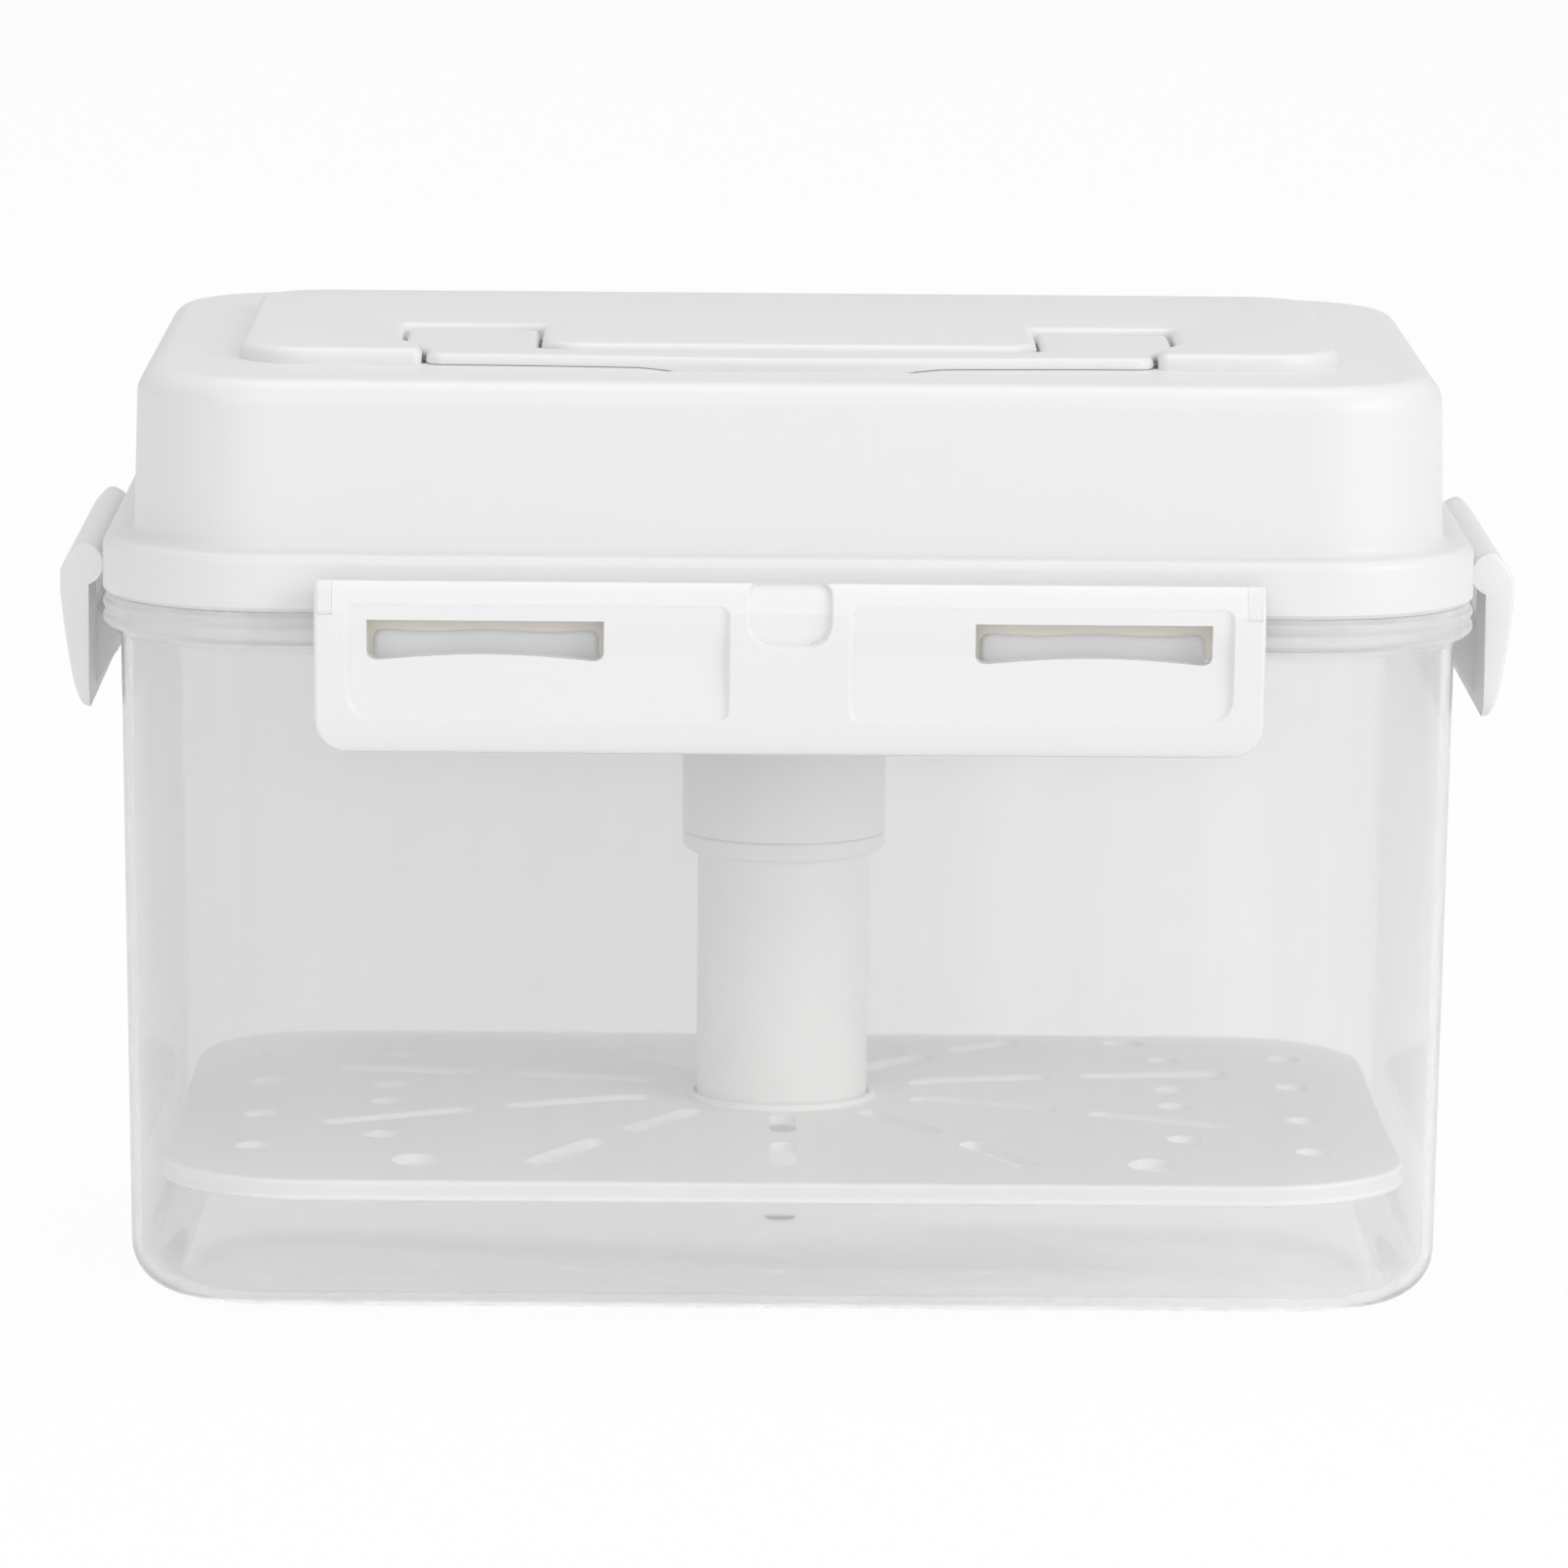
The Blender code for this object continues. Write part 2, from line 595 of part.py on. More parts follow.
def make_latch(name, side, recesses, slots, notch, material):
    degrees, half, reach = latch_sides()[side]
    latch = prism(name, latch_section(), -half, half, "X")
    face = prism("face", latch_face(half), -BARREL_RADIUS * 2, BARREL_RADIUS * 2, "Y")
    combine(latch, [face], "INTERSECT")
    ear_end = half - EAR_WIDTH - SEAT_GAP
    clearances = [rod("clearance", BARREL_RADIUS + SEAT_GAP, *stations, "X", (0, 0), ROUND_STEPS)
                  for stations in ((-half - CUT_OVERRUN, -ear_end), (ear_end, half + CUT_OVERRUN))]
    combine(latch, clearances, "DIFFERENCE")
    combine(latch, make_hooks(slots), "UNION")
    cuts = []
    front = -LATCH_OUTER - CUT_OVERRUN
    deep = RECESS_DEEP - LATCH_OUTER
    low_deep = RECESS_LOW_DEEP - LATCH_OUTER
    slot_bottom = -SLOT_TOP - SLOT_HEIGHT
    pocket = [(front, RECESS_TOP), (deep, RECESS_TOP), (deep, slot_bottom - RECESS_MARGIN),
              (low_deep, -RECESS_BOTTOM), (front, -RECESS_BOTTOM)]
    for low, high in recesses:
        cuts.append(prism("pocket", pocket, low, high, "X"))
    for centre in slots:
        cuts.append(prism("slot", slot_outline(centre), -BARREL_RADIUS * 2, BARREL_RADIUS * 2, "Y"))
    if notch:
        cuts.append(box("notch", (-NOTCH_HALF, front, -NOTCH_BOTTOM),
                        (NOTCH_HALF, NOTCH_DEPTH - LATCH_OUTER, RECESS_TOP)))
    cuts.append(rod("bore", LATCH_PIN_RADIUS + SEAT_GAP, -half - CUT_OVERRUN, half + CUT_OVERRUN,
                    "X", (0, 0)))
    combine(latch, cuts, "DIFFERENCE")
    return place_at_hinge(finish(latch, material), degrees, reach)


def place_at_hinge(piece, degrees, reach):
    """Put a piece, made about its hinge line and facing the front, on its side of the lid."""
    angle = math.radians(degrees)
    piece.rotation_euler = (0, 0, angle)
    piece.location = (reach * math.sin(angle), -reach * math.cos(angle), HINGE_HEIGHT)
    return piece


def make_hooks(slots):
    """Ridges behind the slots. Their upper side slopes, so that they ride under the lugs."""
    apex = LATCH_INNER + HOOK_REACH
    anchor = LATCH_INNER / 2
    top = -HOOK_DROP + (apex - anchor) / HOOK_SLOPE_SHARE
    outline = [(anchor, top), (anchor, -HOOK_FOOT_SHARE * LATCH_DROP), (apex, -HOOK_DROP)]
    return [prism("hook", outline, centre - lug_half(), centre + lug_half(), "X") for centre in slots]


def make_latch_pin(name, side, material):
    degrees, half, reach = latch_sides()[side]
    pin = rod(name, LATCH_PIN_RADIUS, SEAT_GAP - half, half - SEAT_GAP, "X", (0, 0))
    return place_at_hinge(finish(pin, material), degrees, reach)


def make_gasket(material):
    outer = SKIRT_WALL + SEAT_GAP
    inner = PLUG_INSET - SEAT_GAP
    low = LIP_TOP + SEAT_GAP
    high = CHANNEL_TOP - SEAT_GAP
    corners = [(outer, low), (outer, high), (inner, high), (inner, low)]
    return finish(loft("lid_gasket", [shell_ring(*corner) for corner in corners], loop=True), material)


def lip_outline(level, top):
    """Front view of the lip that hangs from a level: flat in the middle and sloped at both ends."""
    flat = LIP_HALF * LIP_FLAT_SHARE
    return [(-LIP_HALF, top), (-LIP_HALF, level), (-flat, level - LIP_DROP), (flat, level - LIP_DROP),
            (LIP_HALF, level), (LIP_HALF, top)]


def taper_curve(wide, taper, start, end):
    """Plan points along -Y between two distances, where an edge narrows in a smooth S."""
    points = []
    for step in range(TAPER_STEPS + 1):
        share = step / TAPER_STEPS
        points.append((wide - taper * (1 - math.cos(math.pi * share)) / 2,
                       -start - (end - start) * share))
    return points


def peg_places():
    x = PANEL_HALF_X * PEG_X_SHARE
    y = PANEL_HALF_Y * PEG_Y_SHARE
    return [(side_x * x, side_y * y) for side_x in (-1, 1) for side_y in (-1, 1)]


def panel_outline(inset):
    """The raised cover in plan: a rounded rectangle, open at the front round the handle."""
    half_x = PANEL_HALF_X - inset
    half_y = PANEL_HALF_Y - inset
    radius = PANEL_RADIUS - inset
    back = -WELL_BACK + inset
    side = WELL_HALF_X + inset
    tongue = TONGUE_HALF_X - inset
    tip = -(HANDLE_GRIP_BACK - TONGUE_GAP) + inset
    corner = TONGUE_CORNER - inset
    right = arc((half_x - radius, radius - half_y), radius, 270, 360, CORNER_STEPS)
    right += arc((half_x - radius, half_y - radius), radius, 0, 90, CORNER_STEPS)
    left = [(-x, y) for x, y in reversed(right)]
    inner = [(PANEL_TAPER - side, -half_y)]
    inner += [(-x, y) for x, y in reversed(taper_curve(side, PANEL_TAPER, PANEL_TAPER_FROM,
                                                       PANEL_TAPER_TO))]
    inner += [(-side, back), (-tongue, back)]
    inner += arc((corner - tongue, tip + corner), corner, 180, 270, FILLET_STEPS)
    inner += [(-x, y) for x, y in reversed(inner)]
    return right + left + inner


def make_panel(material):
    rings = [[(x, y, height) for x, y in panel_outline(inset)]
             for inset, height in ((0, PANEL_BOTTOM), (0, PANEL_TOP - PANEL_EDGE),
                                   (PANEL_EDGE, PANEL_TOP))]
    panel = loft("top_panel", rings)
    pegs = [rod("peg", PEG_RADIUS, PANEL_BOTTOM - PEG_LENGTH, PANEL_BOTTOM + PANEL_THICKNESS / 2,
                "Z", place) for place in peg_places()]
    return finish(combine(panel, pegs, "UNION"), material)


def handle_outline(front, swell):
    """The handle in plan, a U open to the back, whose grip can swell forward in the middle."""
    outer = HANDLE_HALF
    inner = outer - HANDLE_ARM_WIDTH
    back = PIVOT_Y + PIVOT_EYE_RADIUS
    corner = HANDLE_CORNER
    right = [(inner, -HANDLE_GRIP_BACK), (inner, back), (outer, back)]
    right += taper_curve(outer, HANDLE_TAPER, HANDLE_TAPER_FROM, HANDLE_TAPER_TO)
    end = outer - HANDLE_TAPER - corner
    right += arc((end, -front + corner), corner, 0, -90, FILLET_STEPS)
    grip = []
    for step in range(1, SWELL_STEPS):
        x = end * (1 - 2 * step / SWELL_STEPS)
        grip.append((x, -front - swell * (math.cos(math.pi * x / end) + 1) / 2))
    left = [(-x, y) for x, y in reversed(right)]
    return right + grip + left


def make_handle(material):
    thick = prism("carry_handle", handle_outline(WELL_FRONT - HANDLE_WELL_GAP, 0), HANDLE_BOTTOM,
                  HANDLE_TOP - PANEL_EDGE, "Z")
    grip = prism("grip", handle_outline(PANEL_HALF_Y, HANDLE_SWELL), PANEL_BOTTOM, HANDLE_TOP, "Z")
    inner = HANDLE_HALF - HANDLE_ARM_WIDTH
    eyes = [rod("eye", PIVOT_EYE_RADIUS, *stations, "X", (PIVOT_Y, PIVOT_Z), ROUND_STEPS)
            for stations in ((-HANDLE_HALF, -inner), (inner, HANDLE_HALF))]
    cheeks = [box("cheek", (low, PIVOT_Y - PIVOT_EYE_RADIUS, PIVOT_Z),
                  (high, PIVOT_Y + PIVOT_EYE_RADIUS, HANDLE_TOP - PANEL_EDGE))
              for low, high in ((-HANDLE_HALF, -inner), (inner, HANDLE_HALF))]
    lip = prism("lip", handle_outline(PANEL_HALF_Y, HANDLE_SWELL), PANEL_BOTTOM - LIP_DROP,
                PANEL_BOTTOM + PANEL_THICKNESS / 2, "Z")
    middle = prism("middle", lip_outline(PANEL_BOTTOM, PANEL_TOP), -PANEL_HALF_Y - HANDLE_SWELL - CUT_OVERRUN,
                   HANDLE_WELL_GAP + CUT_OVERRUN - WELL_FRONT, "Y")
    combine(lip, [middle], "INTERSECT")
    combine(thick, [grip, lip] + eyes + cheeks, "UNION")
    reach = WELL_HALF_X + HANDLE_PIN_BITE - HANDLE_PIN_LENGTH - SEAT_GAP
    bores = [rod("bore", HANDLE_PIN_RADIUS + SEAT_GAP, *stations, "X", (PIVOT_Y, PIVOT_Z))
             for stations in ((-HANDLE_HALF - CUT_OVERRUN, -reach), (reach, HANDLE_HALF + CUT_OVERRUN))]
    combine(thick, bores, "DIFFERENCE")
    return set_origin(finish(thick, material), (0, PIVOT_Y, PIVOT_Z))


def make_handle_pin(name, side, material):
    outer = WELL_HALF_X + HANDLE_PIN_BITE
    stations = sorted((side * outer, side * (outer - HANDLE_PIN_LENGTH)))
    pin = rod(name, HANDLE_PIN_RADIUS, *stations, "X", (PIVOT_Y, PIVOT_Z))
    return set_origin(finish(pin, material), (0, PIVOT_Y, PIVOT_Z))


def screw_places():
    return [(SLEEVE_SCREW_CIRCLE * math.cos(math.tau * (k + 0.5) / SCREW_COUNT),
             SLEEVE_SCREW_CIRCLE * math.sin(math.tau * (k + 0.5) / SCREW_COUNT))
            for k in range(SCREW_COUNT)]


def make_sleeve(material):
    flange_bottom = SLEEVE_TOP - SLEEVE_FLANGE
    seat = CAP_RADIUS + SEAT_GAP
    seat_bottom = CAP_BOTTOM - SEAT_GAP
    sleeve = turned("press_sleeve", [
        (SLEEVE_BORE, SLEEVE_BOTTOM), (SLEEVE_RADIUS, SLEEVE_BOTTOM), (SLEEVE_RADIUS, flange_bottom),
        (SLEEVE_FLANGE_RADIUS, flange_bottom), (SLEEVE_FLANGE_RADIUS, SLEEVE_TOP),
        (seat, SLEEVE_TOP), (seat, seat_bottom), (SLEEVE_BORE, seat_bottom)])
    holes = [rod("hole", SCREW_RADIUS + SEAT_GAP, flange_bottom - CUT_OVERRUN,
                 SLEEVE_TOP + CUT_OVERRUN, "Z", place) for place in screw_places()]
    return finish(combine(sleeve, holes, "DIFFERENCE"), material)


def make_screws(material):
    head_top = SLEEVE_TOP - SLEEVE_FLANGE - SEAT_GAP
    profile = [(SCREW_HEAD_RADIUS * SCREW_CROWN_SHARE, head_top - SCREW_HEAD),
               (SCREW_HEAD_RADIUS, head_top - SCREW_HEAD * SCREW_CROWN_SHARE),
               (SCREW_HEAD_RADIUS, head_top), (SCREW_RADIUS, head_top),
               (SCREW_RADIUS, SEAT_LEVEL + SCREW_BITE - SEAT_GAP)]
    screws = []
    for number, (x, y) in enumerate(screw_places(), start=1):
        screw = turned("sleeve_screw_" + str(number), profile, loop=False, steps=SMALL_STEPS)
        screw.location = (x, y, 0)
        screws.append(finish(screw, material))
    return screws


def make_bush(material):
    bore = TUBE_RADIUS + SEAT_GAP
    waist = SLEEVE_BORE - SEAT_GAP
    shoulder = SLEEVE_BOTTOM - SEAT_GAP
    return finish(turned("sleeve_bush", [
        (bore, BUSH_BOTTOM), (SLEEVE_RADIUS - BUSH_CHAMFER, BUSH_BOTTOM),
        (SLEEVE_RADIUS, BUSH_BOTTOM + BUSH_CHAMFER), (SLEEVE_RADIUS, shoulder), (waist, shoulder),
        (waist, BUSH_TOP), (bore, BUSH_TOP)]), material)


def make_spring_cap(material):
    return finish(turned("spring_cap", [
        (CAP_SPIGOT_RADIUS, CAP_BOTTOM - CAP_SPIGOT), (CAP_SPIGOT_RADIUS, CAP_BOTTOM),
        (CAP_RADIUS, CAP_BOTTOM), (CAP_RADIUS, SLEEVE_TOP - SEAT_GAP)], loop=False), material)


def make_tube(material):
    bore = TUBE_RADIUS - TUBE_WALL
    rebate = TUBE_RADIUS - STOP_REBATE
    step = TUBE_TOP - STOP_RING_HEIGHT - SEAT_GAP
    spigot_bottom = TUBE_BOTTOM - SPIGOT_LENGTH
    floor = TUBE_BOTTOM + TUBE_FLOOR
    return finish(turned("press_tube", [
        (SPIGOT_RADIUS, spigot_bottom), (SPIGOT_RADIUS, TUBE_BOTTOM), (TUBE_RADIUS, TUBE_BOTTOM),
        (TUBE_RADIUS, step), (rebate, step), (rebate, TUBE_TOP), (bore, TUBE_TOP), (bore, floor)],
        loop=False), material)


def make_stop_ring(material):
    inner = TUBE_RADIUS - STOP_REBATE + SEAT_GAP
    outer = SLEEVE_BORE - SEAT_GAP
    low = TUBE_TOP - STOP_RING_HEIGHT
    return finish(turned("tube_stop_ring", [
        (inner, low), (outer, low), (outer, TUBE_TOP), (inner, TUBE_TOP)]), material)


def make_spring(material):
    """Compression spring: a helix between the tube's floor and the cap, as one tube of wire."""
    clearance = SPRING_WIRE + SEAT_GAP
    low = TUBE_BOTTOM + TUBE_FLOOR + clearance
    high = CAP_BOTTOM - clearance
    count = SPRING_TURNS * SPRING_POINTS
    curve = bpy.data.curves.new("press_spring", "CURVE")
    curve.dimensions = "3D"
    curve.bevel_depth = SPRING_WIRE
    curve.bevel_resolution = 1
    curve.use_fill_caps = True
    line = curve.splines.new("POLY")
    line.points.add(count)
    for k in range(count + 1):
        angle = math.tau * k / SPRING_POINTS
        height = low + (high - low) * k / count
        line.points[k].co = (SPRING_RADIUS * math.cos(angle), SPRING_RADIUS * math.sin(angle), height, 1)
    pitch = (high - low) / SPRING_TURNS
    print("press_spring least gap between turns", round((pitch - 2 * SPRING_WIRE) * 1000, 2), "mm")
    spring = bpy.data.objects.new("press_spring", curve)
    bpy.context.collection.objects.link(spring)
    curve.materials.append(material)
    return spring


def plate_angles():
    """Directions of the plate's points: an even fan, with more towards the four corners."""
    corners = [math.atan2(y, x) % math.tau
               for x, y in rounded_rectangle(PLATE_HALF_X, PLATE_HALF_Y, PLATE_RADIUS, FILLET_STEPS)]
    fan = [math.tau * (k + 0.5) / PLATE_FAN for k in range(PLATE_FAN)]
    clear = [angle for angle in fan
             if min(abs(angle - corner) for corner in corners) > math.tau / PLATE_FAN * FAN_CLEAR_SHARE]
    return sorted(corners + clear)


def plate_reach(angle, inset):
    """Distance from the centre to the plate's rounded edge in one direction."""
    across, along = abs(math.cos(angle)), abs(math.sin(angle))
    half_x, half_y, radius = PLATE_HALF_X - inset, PLATE_HALF_Y - inset, PLATE_RADIUS - inset
    centre_x, centre_y = half_x - radius, half_y - radius
    side_x = half_x / across if across * half_y > along * centre_x else math.inf
    side_y = half_y / along if along * half_x > across * centre_y else math.inf
    reach = min(side_x, side_y)
    if reach * across > centre_x and reach * along > centre_y:
        middle = across * centre_x + along * centre_y
        reach = middle + math.sqrt(middle ** 2 - centre_x ** 2 - centre_y ** 2 + radius ** 2)
    return reach


def plate_ring(share, height, inset=0):
    """Ring between the hub's circle (share 0) and the plate's edge (share 1)."""
    points = []
    for angle in plate_angles():
        reach = HUB_RADIUS + (plate_reach(angle, inset) - HUB_RADIUS) * share
        points.append((reach * math.cos(angle), reach * math.sin(angle), height))
    return points


def crown(share):
    """Height of the plate's upper face, highest round the hub and falling to the edge."""
    return PLATE_EDGE_TOP + PLATE_CROWN * (1 - share * math.sqrt(share))


def hub_ring(radius, height):
    """A circle whose points lie in the same directions as the plate's."""
    return [(radius * math.cos(angle), radius * math.sin(angle), height) for angle in plate_angles()]


def stadium(start, end, width, angle):
    """A radial slot in plan, with round ends, at an angle in radians."""
    half = width / 2
    across = (arc((end - half, 0), half, -90, 90, FILLET_STEPS)
              + arc((start + half, 0), half, 90, 270, FILLET_STEPS))
    return [(x * math.cos(angle) - y * math.sin(angle), x * math.sin(angle) + y * math.cos(angle))
            for x, y in across]


def plate_openings():
    """Outlines of every slot and hole in the plate."""
    outlines = []
    for spoke in range(SLOT_SPOKES):
        angle = math.tau * (spoke + 0.5) / SLOT_SPOKES
        steep = abs(math.sin(angle))
        if steep > FRONT_SPOKE_SHARE:
            spans = ((INNER_SLOT_FROM, FRONT_INNER_SLOT_TO), (FRONT_OUTER_SLOT_FROM, FRONT_OUTER_SLOT_TO))
        elif steep > STEEP_SPOKE_SHARE:
            spans = ((INNER_SLOT_FROM, SHORT_SLOT_TO), (SIDE_SLOT_FROM, SIDE_SLOT_TO))
        else:
            spans = ((INNER_SLOT_FROM, INNER_SLOT_TO), (OUTER_SLOT_FROM, OUTER_SLOT_TO))
        outlines += [stadium(start, end, SPOKE_SLOT_WIDTH, angle) for start, end in spans]
    holes = [(NEAR_HOLES_X, share * PLATE_HALF_Y, HOLE_RADIUS) for share in NEAR_HOLES_Y_SHARES]
    holes += [(FAR_HOLES_X, share * PLATE_HALF_Y, HOLE_RADIUS) for share in FAR_HOLES_Y_SHARES]
    holes += [(CORNER_HOLE_X, CORNER_HOLE_Y_SHARE * PLATE_HALF_Y, CORNER_HOLE_RADIUS)]
    for x, y, radius in holes:
        for side_x in (-1, 1):
            for side_y in (-1, 1):
                outlines.append(arc((side_x * x, side_y * y), radius, 0, 360, HOLE_SIDES)[:-1])
    return outlines


def make_plate(material):
    bore = SPIGOT_RADIUS + SEAT_GAP
    socket = TUBE_RADIUS + SEAT_GAP
    skirt_bottom = PLATE_EDGE_TOP - PLATE_SKIRT
    top = [plate_ring(1, PLATE_EDGE_TOP - PLATE_EDGE_ROUND), plate_ring(1, crown(1), PLATE_EDGE_ROUND)]
    top += [plate_ring(share, crown(share)) for share in PLATE_RING_SHARES]
    hub_height = HUB_TOP + HUB_RING_HEIGHT
    top += [hub_ring(HUB_RADIUS, HUB_TOP), hub_ring(socket + HUB_RING, HUB_TOP),
            hub_ring(socket + HUB_RING, hub_height), hub_ring(socket, hub_height),
            hub_ring(socket, HUB_TOP), hub_ring(bore, HUB_TOP)]
    under = [hub_ring(bore, HUB_TOP - PLATE_THICKNESS), hub_ring(HUB_RADIUS, HUB_TOP - PLATE_THICKNESS)]
    under += [plate_ring(share, crown(share) - PLATE_THICKNESS) for share in reversed(PLATE_RING_SHARES)]
    under += [plate_ring(1, PLATE_EDGE_TOP - PLATE_THICKNESS, PLATE_THICKNESS),
              plate_ring(1, skirt_bottom, PLATE_THICKNESS), plate_ring(1, skirt_bottom)]
    plate = loft("press_plate", top + under, loop=True)
    floor = skirt_bottom - CUT_OVERRUN
    ceiling = hub_height + PLATE_CROWN
    cutters = [prism("opening", outline, floor, ceiling, "Z") for outline in plate_openings()]
    return finish(combine(plate, [join("openings", cutters)], "DIFFERENCE"), material)


def make_nut(material):
    bore = SPIGOT_RADIUS + SEAT_GAP
    high = HUB_TOP - PLATE_THICKNESS - SEAT_GAP
    low = high - NUT_HEIGHT
    return finish(turned("plate_lock_nut", [
        (bore, low), (NUT_RADIUS, low), (NUT_RADIUS, high), (bore, high)], steps=SMALL_STEPS), material)


def build():
    clear_scene()
    clear = make_material("clear_plastic", (0.86, 0.88, 0.89), 0.12, alpha=0.35)
    white = make_material("white_plastic", (0.86, 0.86, 0.86), 0.30)
    latch_white = make_material("latch_plastic", (0.88, 0.88, 0.88), 0.35)
    press_white = make_material("press_plastic", (0.78, 0.80, 0.81), 0.40)
    silicone = make_material("silicone", (0.80, 0.81, 0.80), 0.60)
    steel = make_material("steel", (0.62, 0.63, 0.65), 0.25, metallic=1.0)

    make_container(clear)
    lid = make_lid(white)
    lid_parts = [make_gasket(silicone), make_panel(white), make_handle(white),
                 make_handle_pin("handle_pin_left", -1, steel),
                 make_handle_pin("handle_pin_right", 1, steel)]
    recess_end = LONG_LATCH_HALF - LONG_RECESS_END_GAP
    short_end = SHORT_LATCH_HALF - SHORT_RECESS_END_GAP
    pair = [(-recess_end, -RECESS_START), (RECESS_START, recess_end)]
    single = [(-short_end, short_end)]
    for side in latch_sides():
        long = side in ("front", "rear")
        slots = (-LONG_SLOT_CENTRE, LONG_SLOT_CENTRE) if long else (0,)
        lid_parts.append(make_latch(side + "_latch", side, pair if long else single, slots, long,
                                    latch_white))
        lid_parts.append(make_latch_pin(side + "_latch_pin", side, steel))
    lid_parts += [make_sleeve(press_white), make_bush(press_white), make_spring_cap(press_white),
                  make_spring(steel)] + make_screws(steel)
    for piece in lid_parts:
        piece.parent = lid
    tube = make_tube(press_white)
    tube.parent = lid
    for piece in (make_stop_ring(press_white), make_plate(press_white), make_nut(press_white)):
        piece.parent = tube


build()
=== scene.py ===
# %% [markdown]
# # A pickle container with a spring press
# A clear box for pickling, under a tall white lid that four hinged clasps hold down. A press hangs
# under the lid: a sleeve, a tube that slides in it against a spring, and a slotted plate that keeps
# the food under the brine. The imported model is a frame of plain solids. This lesson dresses it with
# smooth surfaces worked out with numpy, and with plastics made of shader nodes.

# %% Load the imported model
import math

import bmesh
import bpy
import numpy as np
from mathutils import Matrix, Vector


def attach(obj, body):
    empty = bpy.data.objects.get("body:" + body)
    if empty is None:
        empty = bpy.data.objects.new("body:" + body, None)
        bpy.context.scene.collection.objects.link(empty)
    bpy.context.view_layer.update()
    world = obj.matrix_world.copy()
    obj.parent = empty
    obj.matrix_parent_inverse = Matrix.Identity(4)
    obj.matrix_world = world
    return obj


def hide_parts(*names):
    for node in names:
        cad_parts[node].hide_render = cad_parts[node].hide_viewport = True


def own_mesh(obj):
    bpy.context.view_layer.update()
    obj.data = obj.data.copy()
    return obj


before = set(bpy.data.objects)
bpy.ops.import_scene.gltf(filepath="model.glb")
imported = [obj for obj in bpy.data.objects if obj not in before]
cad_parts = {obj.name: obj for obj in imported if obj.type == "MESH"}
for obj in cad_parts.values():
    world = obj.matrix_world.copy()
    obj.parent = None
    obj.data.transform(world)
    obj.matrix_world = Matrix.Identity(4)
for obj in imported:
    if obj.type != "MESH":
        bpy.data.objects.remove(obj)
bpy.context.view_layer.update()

# %% [markdown]
# ## Camera
# The picture was taken with a long lens from two metres away, a little above the lid and a hair to the
# left. A long lens keeps the two ends of the box almost equally large. The camera looks down by a
# small angle and is rolled by half a degree, as the picture is.

# %% Camera
PICTURE_PIXELS = 1601
FOCAL_PIXELS = 9591
SENSOR_MM = 36.0
CAMERA_DISTANCE = 2.000
CAMERA_HEIGHT = 0.410
CAMERA_DOWN = 0.155
CAMERA_SIDE_DEGREES = 0.5
CAMERA_ROLL_DEGREES = 0.5

lens = bpy.data.cameras.new("camera")
lens.sensor_width = SENSOR_MM
lens.lens = SENSOR_MM * FOCAL_PIXELS / PICTURE_PIXELS
lens.clip_end = 50
camera = bpy.data.objects.new("camera", lens)
side = math.radians(CAMERA_SIDE_DEGREES)
camera.location = (-CAMERA_DISTANCE * math.sin(side), -CAMERA_DISTANCE * math.cos(side), CAMERA_HEIGHT)
camera.rotation_mode = "XYZ"
looking = (Matrix.Rotation(-side, 4, "Z") @ Matrix.Rotation(math.pi / 2 - CAMERA_DOWN, 4, "X")
           @ Matrix.Rotation(math.radians(CAMERA_ROLL_DEGREES), 4, "Z"))
camera.rotation_euler = looking.to_euler("XYZ")
bpy.context.scene.collection.objects.link(camera)
bpy.context.scene.camera = camera
print("lens", round(lens.lens, 1), "mm")

# %% [markdown]
# ## Light
# The box stands in a white studio, so soft light comes from everywhere, with large soft lamps in front,
# at the right and overhead. The floor is a plain pale sheet. Where the camera looks at it straight or
# through the clear plastic it is nearly white, and it still takes the shadow of the box.

# %% Light and floor
scene = bpy.context.scene
scene.view_settings.view_transform = "Standard"


def softbox(name, place, target, width, height, watts):
    """A soft rectangular lamp at a place, turned to face a target."""
    lamp = bpy.data.lights.new(name, "AREA")
    lamp.shape = "RECTANGLE"
    lamp.size = width
    lamp.size_y = height
    lamp.energy = watts
    holder = bpy.data.objects.new(name, lamp)
    aim = Vector(target) - Vector(place)
    holder.location = place
    holder.rotation_mode = "QUATERNION"
    holder.rotation_quaternion = aim.to_track_quat("-Z", "Y")
    scene.collection.objects.link(holder)
    return holder


def node_tools(holder):
    """Empty a material's or world's node tree, and return a short way to add nodes to it. Sockets are
    filled with values, or joined to outputs, where a node stands for its first output."""
    holder.use_nodes = True
    tree = holder.node_tree
    tree.nodes.clear()

    def add(kind, sockets=None, **settings):
        node = tree.nodes.new("ShaderNode" + kind)
        for key, value in settings.items():
            setattr(node, key, value)
        for key, value in (sockets or {}).items():
            if isinstance(value, bpy.types.Node):
                value = value.outputs[0]
            if isinstance(value, bpy.types.NodeSocket):
                tree.links.new(value, node.inputs[key])
            else:
                node.inputs[key].default_value = value
        return node

    return add


def new_material(name):
    """A material, the short way to add nodes to it, and the place on the object that it colours."""
    material = bpy.data.materials.new(name)
    add = node_tools(material)
    return material, add, add("TexCoord").outputs["Object"]


def white_looks(add):
    """1 for straight looks and for looks through clear plastic, else 0, and the light path's node."""
    path = add("LightPath")
    return add("Math", {0: path.outputs["Is Camera Ray"], 1: path.outputs["Is Transmission Ray"]},
               operation="MAXIMUM"), path


